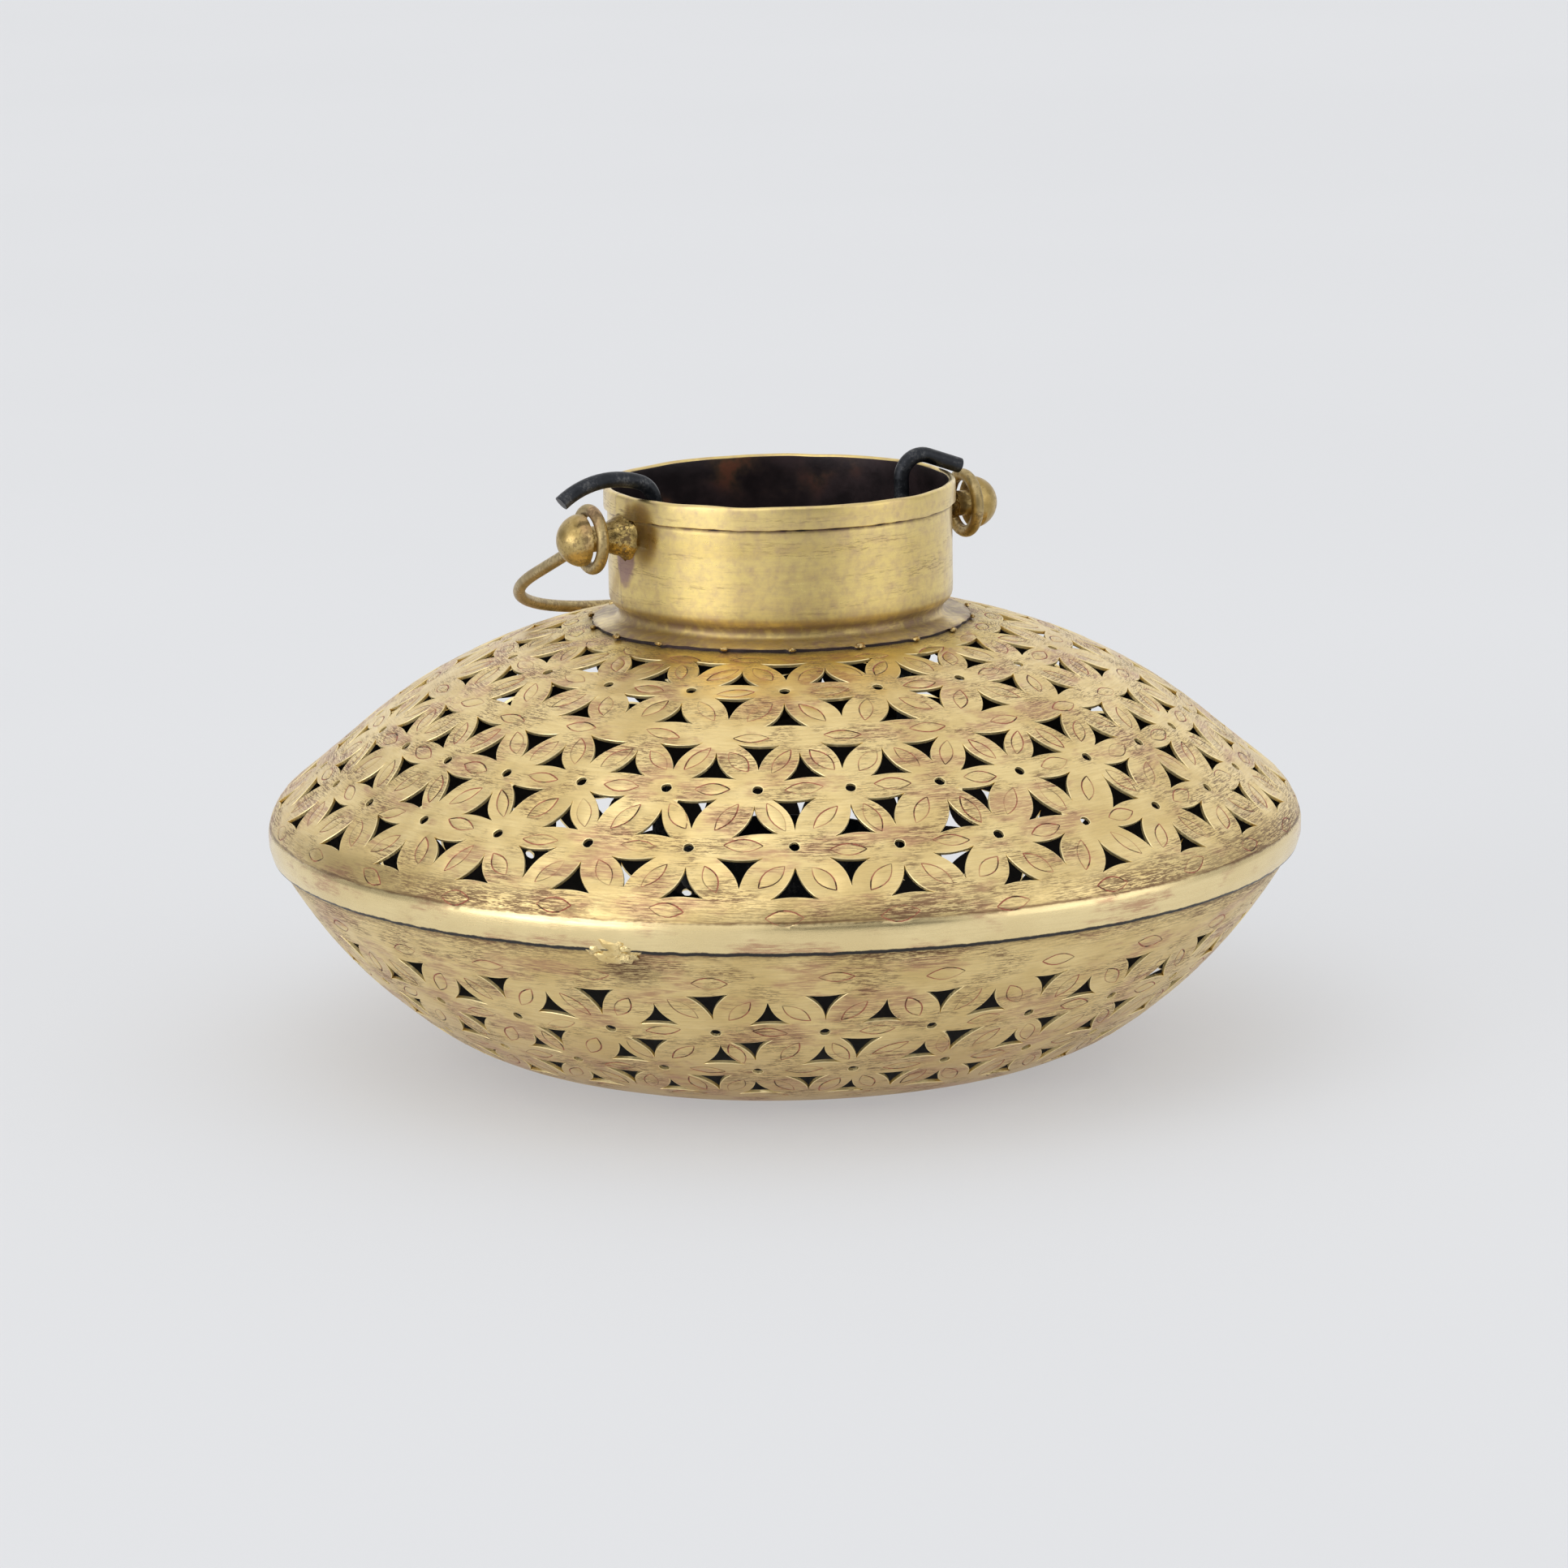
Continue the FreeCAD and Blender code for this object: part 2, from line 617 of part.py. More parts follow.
def bail_handle():
    """Drawn flat along +Y, then laid back at its rest angle."""
    body = add_body("bail_handle")
    span = dim("bail_half_span")
    leg = dim("bail_leg")
    eye = dim("bail_eye_radius")
    wire = dim("bail_wire_radius")
    path = add_sketch(body, "bail_path", "XY_Plane")
    numbers = draw(path, [
        line((span, eye), (span, leg)),
        arc((0, leg), span, 0, 180),
        line((-span, leg), (-span, eye)),
    ], smooth=(0, 1), closed=False)
    path.addConstraint(Sketcher.Constraint("Vertical", numbers[0]))
    path.addConstraint(Sketcher.Constraint("Vertical", numbers[2]))
    bind_radius(path, "bow", "dims.bail_half_span", numbers[1])
    bind_point(path, "leg_foot", numbers[0], 1, "dims.bail_half_span", "dims.bail_eye_radius")
    bind_point(path, "leg_top", numbers[0], 2, up="dims.bail_leg")
    bind_point(path, "far_foot", numbers[2], 2, up="dims.bail_eye_radius")
    section = add_sketch(body, "bail_section", "XZ_Plane")
    section.AttachmentOffset = FreeCAD.Placement(V(0, 0, -eye), FreeCAD.Rotation())
    section.setExpression("AttachmentOffset.Base.z", "-dims.bail_eye_radius")
    circle = section.addGeometry(Part.Circle(V(span, 0, 0), V(0, 0, 1), wire), False)
    bind(section, "wire", "dims.bail_wire_radius", "Radius", circle, wire)
    bind_point(section, "wire_centre", circle, 3, across="dims.bail_half_span")
    section.addConstraint(Sketcher.Constraint("PointOnObject", circle, 3, -1))
    pipe(body, section, path, "bail_wire")
    rings = add_sketch(body, "eye_section", "XY_Plane")
    for side, name in ((1, "right"), (-1, "left")):
        ring = rings.addGeometry(Part.Circle(V(side * span, eye, 0), V(0, 0, 1), wire), False)
        bind(rings, name + "_wire", "dims.bail_wire_radius", "Radius", ring, wire)
        bind_point(rings, name + "_eye", ring, 3, "%d * dims.bail_half_span" % side, "dims.bail_eye_radius")
    revolve(body, rings, "eye_rings", "H_Axis")
    body.Placement = FreeCAD.Placement(
        V(0, 0, dim("stud_height")), FreeCAD.Rotation(V(1, 0, 0), -dim("bail_rest_droop")))
    return body


# Candle holder

def hanger_wire():
    """Two hooks over the rim, two uprights and a bar under the cup, bent from one wire."""
    body = add_body("hanger_wire")
    wire = dim("holder_wire_radius")
    left = -dim("holder_left")
    right = dim("holder_right")
    bar = dim("holder_bar_height")
    bend = dim("holder_bend")
    hook = dim("hook_bend")
    level = dim("hook_centre_height")
    rise = dim("left_hook_rise")
    fall = dim("left_hook_fall")
    sweep = dim("left_hook_sweep")
    slope = dim("right_hook_fall")
    left_centre = (left - hook, level)
    sweep_centre = polar(left_centre, hook - sweep, 90 - rise)
    right_centre = (right + hook, level)
    tail = polar(right_centre, hook, 90 - slope)
    tail_end = polar(tail, dim("right_hook_tail"), -slope)
    path = add_sketch(body, "hanger_path", "XZ_Plane")
    numbers = draw(path, [
        arc(sweep_centre, sweep, 90 + fall, 90 - rise),
        arc(left_centre, hook, 90 - rise, 0),
        line((left, level), (left, bar + bend)),
        arc((left + bend, bar + bend), bend, 180, 270),
        line((left + bend, bar), (right - bend, bar)),
        arc((right - bend, bar + bend), bend, 270, 360),
        line((right, bar + bend), (right, level)),
        arc(right_centre, hook, 180, 90 - slope),
        line(tail, tail_end),
    ], smooth=tuple(range(8)), closed=False)
    sweep_arc, left_arc, left_leg, left_bend, bar_line, right_bend, right_leg, right_arc, _ = numbers
    path.addConstraint(Sketcher.Constraint("Vertical", left_leg))
    path.addConstraint(Sketcher.Constraint("Vertical", right_leg))
    path.addConstraint(Sketcher.Constraint("Horizontal", bar_line))
    bind_radius(path, "left_sweep", "dims.left_hook_sweep", sweep_arc)
    bind_radius(path, "left_hook", "dims.hook_bend", left_arc)
    bind_radius(path, "left_bend", "dims.holder_bend", left_bend)
    bind_radius(path, "right_bend", "dims.holder_bend", right_bend)
    bind_radius(path, "right_hook", "dims.hook_bend", right_arc)
    bind_point(path, "left_upright", left_leg, 1, "-dims.holder_left", "dims.hook_centre_height")
    bind_point(path, "right_upright", right_leg, 2, "dims.holder_right", "dims.hook_centre_height")
    bind_point(path, "bar", bar_line, 1, up="dims.holder_bar_height")
    section = add_sketch(body, "hanger_section", "XY_Plane")
    section.AttachmentOffset = FreeCAD.Placement(V(0, 0, level), FreeCAD.Rotation())
    section.setExpression("AttachmentOffset.Base.z", "dims.hook_centre_height")
    circle = section.addGeometry(Part.Circle(V(left, 0, 0), V(0, 0, 1), wire), False)
    bind(section, "wire", "dims.holder_wire_radius", "Radius", circle, wire)
    bind_point(section, "wire_centre", circle, 3, across="-dims.holder_left")
    section.addConstraint(Sketcher.Constraint("PointOnObject", circle, 3, -1))
    pipe(body, section, path, "hanger_bend")
    body.Placement = FreeCAD.Placement(V(0, -dim("holder_shift"), 0), FreeCAD.Rotation())
    return body


def candle_cup():
    body = add_body("candle_cup")
    sketch = add_sketch(body, "cup_outline", "XZ_Plane")
    gauge = dim("sheet_gauge")
    radius = dim("cup_radius")
    corner = dim("cup_corner")
    depth = dim("cup_depth")
    numbers = draw(sketch, [
        line((0, 0), (radius - corner, 0)),
        arc((radius - corner, corner), corner, -90, 0),
        line((radius, corner), (radius, depth)),
        line((radius, depth), (radius - gauge, depth)),
        line((radius - gauge, depth), (radius - gauge, corner)),
        arc((radius - corner, corner), corner - gauge, 0, -90),
        line((radius - corner, gauge), (0, gauge)),
        line((0, gauge), (0, 0)),
    ], smooth=(0, 1, 4, 5))
    base, corner_arc, wall, brim, wall_in, _, base_in, axis = numbers
    sketch.addConstraint(Sketcher.Constraint("Coincident", base, 1, -1, 1))
    for level in (base, brim, base_in):
        sketch.addConstraint(Sketcher.Constraint("Horizontal", level))
    for upright in (wall, wall_in, axis):
        sketch.addConstraint(Sketcher.Constraint("Vertical", upright))
    bind_radius(sketch, "corner", "dims.cup_corner", corner_arc)
    bind_point(sketch, "brim", wall, 2, "dims.cup_radius", "dims.cup_depth")
    bind_point(sketch, "wall_inside", wall_in, 1, across="dims.cup_radius - dims.sheet_gauge")
    bind_point(sketch, "floor", base_in, 2, up="dims.sheet_gauge")
    revolve(body, sketch, "cup_spin")
    height = dim("holder_bar_height") + dim("holder_wire_radius")
    body.Placement = FreeCAD.Placement(V(holder_middle(), -dim("holder_shift"), height), FreeCAD.Rotation())
    return body


def holder_middle():
    return (dim("holder_right") - dim("holder_left")) / 2


def cup_welds():
    """Two beads of weld on each side of the bar, under the floor of the cup."""
    lumps = []
    wire = dim("holder_wire_radius")
    floor = dim("holder_bar_height") + wire
    across = wire + dim("braze_thin_end")
    for along in (-dim("weld_offset"), dim("weld_offset")):
        for side in (-across, across):
            lump = doc.addObject("Part::Ellipsoid", "weld_%d" % len(lumps))
            lump.setExpression("Radius1", "dims.holder_wire_radius")
            lump.setExpression("Radius2", "2 * dims.holder_wire_radius")
            lump.setExpression("Radius3", "dims.holder_wire_radius")
            place = V(holder_middle() + along, side - dim("holder_shift"), floor)
            lump.Placement = FreeCAD.Placement(place, FreeCAD.Rotation())
            lumps.append(lump)
    joined = doc.addObject("Part::Compound", "weld_lumps")
    joined.Links = lumps
    bar = doc.addObject("Part::Cylinder", "weld_bar")
    bar.setExpression("Radius", "dims.holder_wire_radius")
    bar.setExpression("Height", "2 * dims.cup_radius")
    start = V(holder_middle() - dim("cup_radius"), -dim("holder_shift"), dim("holder_bar_height"))
    bar.Placement = FreeCAD.Placement(start, FreeCAD.Rotation(V(0, 1, 0), 90))
    above = doc.addObject("Part::Cylinder", "weld_floor")
    above.setExpression("Radius", "dims.cup_radius")
    above.setExpression("Height", "dims.cup_depth")
    above.Placement = FreeCAD.Placement(V(holder_middle(), -dim("holder_shift"), floor), FreeCAD.Rotation())
    trim = doc.addObject("Part::Fuse", "weld_trim")
    trim.Base = bar
    trim.Tool = above
    cut = doc.addObject("Part::Cut", "cup_welds")
    cut.Label = "cup_welds"
    cut.Base = joined
    cut.Tool = trim
    return cut


def write(pieces):
    doc.recompute()
    for item in doc.Objects:
        if "Invalid" in item.State or "Error" in item.State:
            raise RuntimeError("%s did not build: %s" % (item.Name, item.State))
    for piece in pieces:
        if piece.Shape.isNull() or not piece.Shape.isValid():
            raise RuntimeError("%s has no valid shape" % piece.Label)
    os.makedirs("parts", exist_ok=True)
    for piece in pieces:
        piece.Shape.exportStep("parts/%s.step" % piece.Label)
        print(piece.Label, len(piece.Shape.Solids), "solids", round(piece.Shape.Volume, 1), "mm3")


core = shell_core()
dome_punches = lattice(dome_runs(), NECK_BAND) + lattice(dome_runs(), DOME_BAND)
bowl_punches = lattice(bowl_runs(), BOWL_BAND)
write([
    pierce("upper_shell", upper_blank(), dome_punches),
    pierce("lower_shell", lower_blank(), bowl_punches),
    seam_tacks(core),
    neck_collar(),
    neck_solder(),
    bail_stud("bail_stud_right", 0),
    bail_stud("bail_stud_left", 180),
    stud_braze("stud_braze_right", 0),
    stud_braze("stud_braze_left", 180),
    bail_handle(),
    hanger_wire(),
    candle_cup(),
    cup_welds(),
])
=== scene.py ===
import bisect
import math
import random

import bmesh
import bpy
from mathutils import Matrix, Vector, kdtree, noise
from mathutils.geometry import delaunay_2d_cdt


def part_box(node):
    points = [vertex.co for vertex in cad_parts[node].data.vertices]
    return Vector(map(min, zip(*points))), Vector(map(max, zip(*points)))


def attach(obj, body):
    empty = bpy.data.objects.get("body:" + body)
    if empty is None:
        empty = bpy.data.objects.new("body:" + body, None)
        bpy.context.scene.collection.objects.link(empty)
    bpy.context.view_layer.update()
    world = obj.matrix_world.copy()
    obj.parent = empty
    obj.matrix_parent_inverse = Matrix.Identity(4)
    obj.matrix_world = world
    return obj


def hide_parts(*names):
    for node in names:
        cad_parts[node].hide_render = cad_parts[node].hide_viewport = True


# Hanging lantern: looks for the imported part. Lengths are in millimetres in the sizes below and in the
# outlines, and become metres when a mesh is made. A bearing is an angle from the front (-Y) towards +X.

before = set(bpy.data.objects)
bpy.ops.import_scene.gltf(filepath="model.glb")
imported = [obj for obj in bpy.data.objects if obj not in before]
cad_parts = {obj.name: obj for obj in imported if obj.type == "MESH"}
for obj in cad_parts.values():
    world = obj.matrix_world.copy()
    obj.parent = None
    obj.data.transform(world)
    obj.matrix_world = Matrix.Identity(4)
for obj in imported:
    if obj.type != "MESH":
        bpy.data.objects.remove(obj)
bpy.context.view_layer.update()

MM = 0.001
TURN = 2 * math.pi
dice = random.Random(11)


def mm_box(node):
    low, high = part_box(node)
    return low / MM, high / MM


shell_low, shell_high = mm_box("upper_shell")
_, bowl_high = mm_box("lower_shell")
_, collar_high = mm_box("neck_collar")
stud_low, stud_high = mm_box("bail_stud_right")
_, braze_high = mm_box("stud_braze_right")

GAUGE = 0.8
WIDEST_RADIUS = shell_high.x
SKIRT_EDGE = shell_low.z
WIDEST_HEIGHT = 54.9
CORNER_RADIUS = 12.2
DOME_RADIUS = 123.1
DOME_CENTRE = (26.8, -15.7)
MOUTH_RADIUS = 40.0
BASE_FLAT = 58.0
BASE_HUB = 6.0
FOOT_RADIUS = 54.2
BOWL_RADIUS = 121.0
LIP_RADIUS = 125.6
LIP_TOP = bowl_high.z
COLLAR_RADIUS = 42.3
COLLAR_TOP = collar_high.z
HEM_RADIUS = 43.2
HEM_HEIGHT = 5.6
ROLL_RADIUS = 3.0
ROLL_HEIGHT = 113.1
ROLL_TURN = 60.0
GROOVE_RADIUS = 1.6
GROOVE_TURN = 262.0
FLANGE_RADIUS = collar_high.x
STUD_HEIGHT = (stud_low.z + stud_high.z) / 2
SHANK_RADIUS = 3.15

ROW_SPACING = 17.6
HOLE_REACH = 5.85
HOLE_HOLLOW = 1.0
DOT_RADIUS = 1.25
BEAD_LENGTH = 7.4
OVAL_LENGTH = 8.7
OVAL_WIDTH = 3.5
LINE_HALF = 0.27
LINE_DEPTH = 0.15

# Rows of closer points round a shell: offset along it and lift. The bead's crease, then both seam edges.
BEAD_CREASE = ((-1.5, 0.0), (-0.7, -0.04), (0.0, -0.2), (0.7, 0.06), (1.6, 0.12))
SKIRT_ROWS = ((-3.0, 0.1), (-2.0, 0.0), (-1.2, 0.0), (-0.6, 0.0))
SEAM_ROWS = ((-0.8, 0.0), (0.0, -0.1), (0.7, -0.1), (1.4, 0.0), (2.4, 0.0))

# Spacing of the plain sheet's points, and how near to a feature they may come, outside and inside.
OUTER_SPACING, OUTER_CLEAR = 2.7, 1.25
INNER_SPACING, INNER_CLEAR = 5.0, 2.2
CREASE_SPACING = 1.9
BORDER_SPACING = 2.2
HOLE_CLEAR = 3.3
# The unrolled sheet runs on this far past the seam at the back, in radians.
SEAM_MARGIN = 0.3

# Bands of flowers: radius of the first row's circle, then for each row how many flowers and one bearing.
NECK_BAND = (67.9, ((19, -26.6),))
DOME_BAND = (99.7, ((29, -30.5), (29, -25.9)))
BOWL_BAND = (109.3, ((27, -22.5), (27, -31.3)))

# Rows of lone ovals: distance from a band's row along the surface, how many, and one bearing.
NECK_OVALS = ((-16.5, 21, -36.0), (18.8, 25, -32.4))
DOME_OVALS = ((18.3, 29, -27.5),)
BOWL_OVALS = ((-18.9, 27, -22.0),)
BASE_OVALS = ((16.6, 27, -30.2),)

# How far handwork strays from the true shape.
CORNER_STRAY = 0.22
HOLE_STRAY = 0.25
DOT_STRAY = 0.15
WALL_STRAY = 0.16
RIM_STRAY = 0.30
HEM_STRAY = 0.22
SHEET_STRAY = 0.28
SHEET_WAVES = 0.035

# The lapped joint of the neck, and the tabs round the edge of its flange (half turn in degrees).
LAP_STEP = 0.42
LAP_SPREAD = 9.0
TAB_REACH = 2.2
TAB_HALF_TURN = 1.7

TACK_BEARINGS = (-45.5, 74.5, 194.5)
TAB_COUNT = 18
TAB_BEARING = -44.6
LAP_BEARING = -93.0


# Bearings and loops

def axis_point(turn, radius, height):
    """The point at a bearing in radians, a radius and a height."""
    return Vector((radius * math.sin(turn), -radius * math.cos(turn), height))


def wrapped(turn):
    """The same bearing, within half a turn of the front."""
    return (turn + math.pi) % TURN - math.pi


def pairs(loop):
    """Each item of a closed loop with the next one."""
    return list(zip(loop, loop[1:] + loop[:1]))


# Curves in the (radius, height) plane

def polar(centre, radius, degrees):
    turn = math.radians(degrees)
    return (centre[0] + radius * math.cos(turn), centre[1] + radius * math.sin(turn))


def dome_runs():
    corner = (WIDEST_RADIUS - CORNER_RADIUS, WIDEST_HEIGHT)
    across = corner[0] - DOME_CENTRE[0]
    up = corner[1] - DOME_CENTRE[1]
    spare = math.acos((DOME_RADIUS - CORNER_RADIUS) / math.hypot(across, up))
    slope = math.degrees(math.atan2(up, across) + spare)
    mouth = math.degrees(math.acos((MOUTH_RADIUS - DOME_CENTRE[0]) / DOME_RADIUS))
    edge = math.degrees(math.asin((SKIRT_EDGE - corner[1]) / CORNER_RADIUS))
    return [
        ("arc", DOME_CENTRE, DOME_RADIUS, mouth, slope),
        ("line", polar(DOME_CENTRE, DOME_RADIUS, slope), polar(corner, CORNER_RADIUS, slope), slope),
        ("arc", corner, CORNER_RADIUS, slope, edge),
    ]


def bowl_runs():
    foot = (BASE_FLAT, FOOT_RADIUS)
    rim = (LIP_RADIUS, SKIRT_EDGE)
    gap = math.dist(rim, foot)
    reach = BOWL_RADIUS - FOOT_RADIUS
    cosine = (reach ** 2 + gap ** 2 - BOWL_RADIUS ** 2) / (2 * reach * gap)
    turn = math.atan2(rim[1] - foot[1], rim[0] - foot[0]) + math.acos(cosine)
    centre = polar(foot, reach, math.degrees(turn))
    join = math.degrees(math.atan2(foot[1] - centre[1], foot[0] - centre[0]))
    end = math.degrees(math.atan2(rim[1] - centre[1], rim[0] - centre[0]))
    return [
        ("line", (LIP_RADIUS, LIP_TOP), rim, 0.0),
        ("arc", centre, BOWL_RADIUS, end, join),
        ("arc", foot, FOOT_RADIUS, join, -90.0),
        ("line", (BASE_FLAT, 0.0), (BASE_HUB, 0.0), -90.0),
    ]


def run_length(run):
    if run[0] == "arc":
        return run[2] * math.radians(abs(run[4] - run[3]))
    return math.dist(run[1], run[2])


class Meridian:
    """One shell's outline, walked by distance, with the stretch that keeps angles true when unrolled."""

    def __init__(self, runs, steps=1200):
        self.runs = runs
        self.length = sum(run_length(run) for run in runs)
        self.step = self.length / steps
        self.unrolled = [0.0]
        for i in range(steps):
            self.unrolled.append(self.unrolled[-1] + self.step / self.radius((i + 0.5) * self.step))

    def at(self, distance):
        """The radius, the height and the outward bearing in radians."""
        for run in self.runs:
            length = run_length(run)
            if distance <= length or run is self.runs[-1]:
                break
            distance -= length
        share = distance / length
        if run[0] == "arc":
            bearing = run[3] + (run[4] - run[3]) * share
            return (*polar(run[1], run[2], bearing), math.radians(bearing))
        (ax, ay), (bx, by) = run[1], run[2]
        return ax + (bx - ax) * share, ay + (by - ay) * share, math.radians(run[3])

    def radius(self, distance):
        return self.at(distance)[0]

    def distance_to(self, radius, first=0.0):
        low, high = first, self.length
        outwards = self.radius(high) > self.radius(low)
        for _ in range(50):
            middle = (low + high) / 2
            if (self.radius(middle) < radius) == outwards:
                low = middle
            else:
                high = middle
        return (low + high) / 2

    def unroll(self, distance):
        place = min(max(distance / self.step, 0.0), len(self.unrolled) - 1.001)
        i = int(place)
        return self.unrolled[i] + (self.unrolled[i + 1] - self.unrolled[i]) * (place - i)

    def roll_up(self, height):
        i = min(max(bisect.bisect_right(self.unrolled, height) - 1, 0), len(self.unrolled) - 2)
        share = (height - self.unrolled[i]) / (self.unrolled[i + 1] - self.unrolled[i])
        return (i + share) * self.step


# Outlines on the sheet, in (across, down) millimetres about their own centre

def outset(points, amount):
    """The closed outline moved outwards; the points run anticlockwise."""
    moved = []
    for i, (x, y) in enumerate(points):
        before = points[i - 1]
        after = points[(i + 1) % len(points)]
        dx, dy = after[0] - before[0], after[1] - before[1]
        size = math.hypot(dx, dy) or 1.0
        moved.append((x + dy / size * amount, y - dx / size * amount))
    return moved


def triangle_outline(pointing):
    """A punched hole with three hollow sides, each one a little different."""
    turn = -pointing * 90 + dice.gauss(0, 2.2)
    reach = HOLE_REACH * dice.uniform(0.95, 1.06)
    corners = []
    for i in range(3):
        x, y = polar((0, 0), reach, turn + 120 * i)
        corners.append((x + dice.gauss(0, CORNER_STRAY), y + dice.gauss(0, CORNER_STRAY)))
    points = []
    parts = 7
    for i in range(3):
        (ax, ay), (bx, by) = corners[i], corners[(i + 1) % 3]
        level = i == 1
        hollow = HOLE_HOLLOW * (0.65 if level else 1.12) * dice.uniform(0.82, 1.18)
        size = math.hypot(bx - ax, by - ay)
        nx, ny = -(by - ay) / size, (bx - ax) / size
        lean = dice.uniform(-0.12, 0.12)
        for k in range(parts):
            share = k / parts
            bend = hollow * 4 * share * (1 - share) * (1 + lean * (share - 0.5) * 4)
            points.append((ax + (bx - ax) * share + nx * bend, ay + (by - ay) * share + ny * bend))
    return points


def round_outline():
    count = 12
    return [polar((0, 0), DOT_RADIUS * dice.uniform(0.94, 1.09), 360 * k / count) for k in range(count)]


def oval_outline(turn_deg):
    """A stamped pointed oval, anticlockwise, turned from the level."""
    length = OVAL_LENGTH * dice.uniform(0.92, 1.06) / 2
    width = OVAL_WIDTH * dice.uniform(0.84, 1.12) / 2
    turn = math.radians(turn_deg)
    cos, sin = math.cos(turn), math.sin(turn)
    points = []
    parts = 10
    for side in (1, -1):
        for k in range(parts):
            x = side * length * math.cos(math.pi * k / parts)
            y = side * width * (1 - (x / length) ** 2)
            points.append((x * cos - y * sin, x * sin + y * cos))
    return points


# The pierced shells

class Sheet:
    """Collects the points of one shell, then makes a skin with holes, stamped lines and thickness."""

    def __init__(self, runs):
        self.line = Meridian(runs)
        self.points = []
        self.edges = []
        self.holes = []
        self.centres = []

    def add(self, bearing, distance, lift=0.0, stamp=0.0, edge_highlight=0.0):
        self.points.append((bearing, distance, lift, stamp, edge_highlight))
        return len(self.points) - 1

    def ring(self, bearing, distance, outline, lifts, stamps, edge_highlight):
        """A closed ring of points round a place on the sheet."""
        ids = []
        for i, (x, y) in enumerate(outline):
            down = distance + y
            turn = bearing + x / self.line.radius(down)
            ids.append(self.add(turn, down, lifts[i], stamps[i], edge_highlight))
        self.edges += pairs(ids)
        return ids

    def pierce(self, bearing, distance, outline, rims):
        """A hole with a painted highlight along its slightly drawn-in edge, and one or two rings round it.
        """
        count = len(outline)
        flat = [0.0] * count
        edge = self.ring(bearing, distance, outline, [-0.1] * count, flat, 1.0)
        for amount, lift, edge_highlight in rims:
            self.ring(bearing, distance, outset(outline, amount), [lift] * count, flat, edge_highlight)
        self.holes.append(edge)
        self.centres.append((bearing, distance, max(math.hypot(x, y) for x, y in outline)))

    def triangle(self, bearing, distance, pointing):
        bearing += dice.gauss(0, HOLE_STRAY) / self.line.radius(distance)
        distance += dice.gauss(0, HOLE_STRAY)
        rims = ((0.13, 0.05, 0.6), (0.5, 0.0, 0.0))
        self.pierce(bearing, distance, triangle_outline(pointing), rims)

    def dot(self, bearing, distance):
        distance += dice.gauss(0, DOT_STRAY)
        self.pierce(bearing, distance, round_outline(), ((0.3, 0.02, 0.15),))

    def oval(self, bearing, distance, turn_deg, jitter=0.7):
        """A stamped line: its depth and the dirt in it vary round the outline."""
        bearing += dice.gauss(0, jitter * 0.6) / self.line.radius(distance)
        distance += dice.gauss(0, jitter * 0.6)
        outline = oval_outline(turn_deg + dice.gauss(0, 7))
        count = len(outline)
        heavy = dice.uniform(0, TURN)
        strength = dice.uniform(0.35, 1.0)
        weights = []
        for i in range(count):
            round_it = 0.5 + 0.5 * math.cos(TURN * i / count - heavy)
            weights.append(min(1.0, strength * (0.35 + 0.65 * round_it) + 0.1))
        zero = [0.0] * count
        self.ring(bearing, distance, outset(outline, LINE_HALF), zero, zero, 0.0)
        self.ring(bearing, distance, outline, [-LINE_DEPTH * w for w in weights], weights, 0.0)
        self.ring(bearing, distance, outset(outline, -LINE_HALF), zero, zero, 0.0)

    def band(self, band, lone_ovals, first=0.0):
        """One band of flowers: dots at the centres, holes between the petals, an oval on each petal."""
        radius, rows = band
        start = self.line.distance_to(radius, first)
        for index, (count, bearing_deg) in enumerate(rows):
            here = start + index * ROW_SPACING
            step = TURN / count
            last = index == len(rows) - 1
            for k in range(count):
                turn = math.radians(bearing_deg) + k * step
                half_pitch = step / 2 * self.line.radius(here)
                steep = math.degrees(math.atan2(ROW_SPACING, half_pitch))
                self.dot(turn, here)
                self.triangle(turn, here - ROW_SPACING * 2 / 3, -1)
                self.triangle(turn, here + ROW_SPACING * 2 / 3, 1)
                self.oval(turn + step / 2, here, 0)
                if index == 0:
                    self.triangle(turn + step / 2, here - ROW_SPACING / 3, 1)
                    self.oval(turn + step / 4, here - ROW_SPACING / 2, -steep)
                    self.oval(turn - step / 4, here - ROW_SPACING / 2, steep)
                if last:
                    self.triangle(turn + step / 2, here + ROW_SPACING / 3, -1)
                    self.oval(turn + step / 4, here + ROW_SPACING / 2, steep)
                    self.oval(turn - step / 4, here + ROW_SPACING / 2, -steep)
                else:
                    below = math.radians(rows[index + 1][1])
                    right = (below - turn) % step
                    for offset in (right, right - step):
                        lean = math.degrees(math.atan2(ROW_SPACING, offset * self.line.radius(here)))
                        self.oval(turn + offset / 2, here + ROW_SPACING / 2, lean)
        self.row_ovals(start, lone_ovals)

    def row_ovals(self, start, rows):
        """Rows of lone ovals, each lying level."""
        for offset, count, bearing_deg in rows:
            for k in range(count):
                turn = math.radians(bearing_deg + 360 * k / count)
                self.oval(turn, start + offset, 0, 1.0)

    def place(self, bearing, distance, lift):
        """The point in space, in millimetres, with the gentle unevenness of spun sheet."""
        radius, height, lean = self.line.at(distance)
        middle = Vector((math.sin(bearing) * radius, math.cos(bearing) * radius, height))
        out = lift + noise.noise(middle * SHEET_WAVES) * SHEET_STRAY
        reach = radius + math.cos(lean) * out
        return axis_point(bearing, reach, height + math.sin(lean) * out)

    def tree_of(self, items):
        tree = kdtree.KDTree(len(items))
        for i, (bearing, distance, *_) in enumerate(items):
            tree.insert(self.place(bearing, distance, 0), i)
        tree.balance()
        return tree

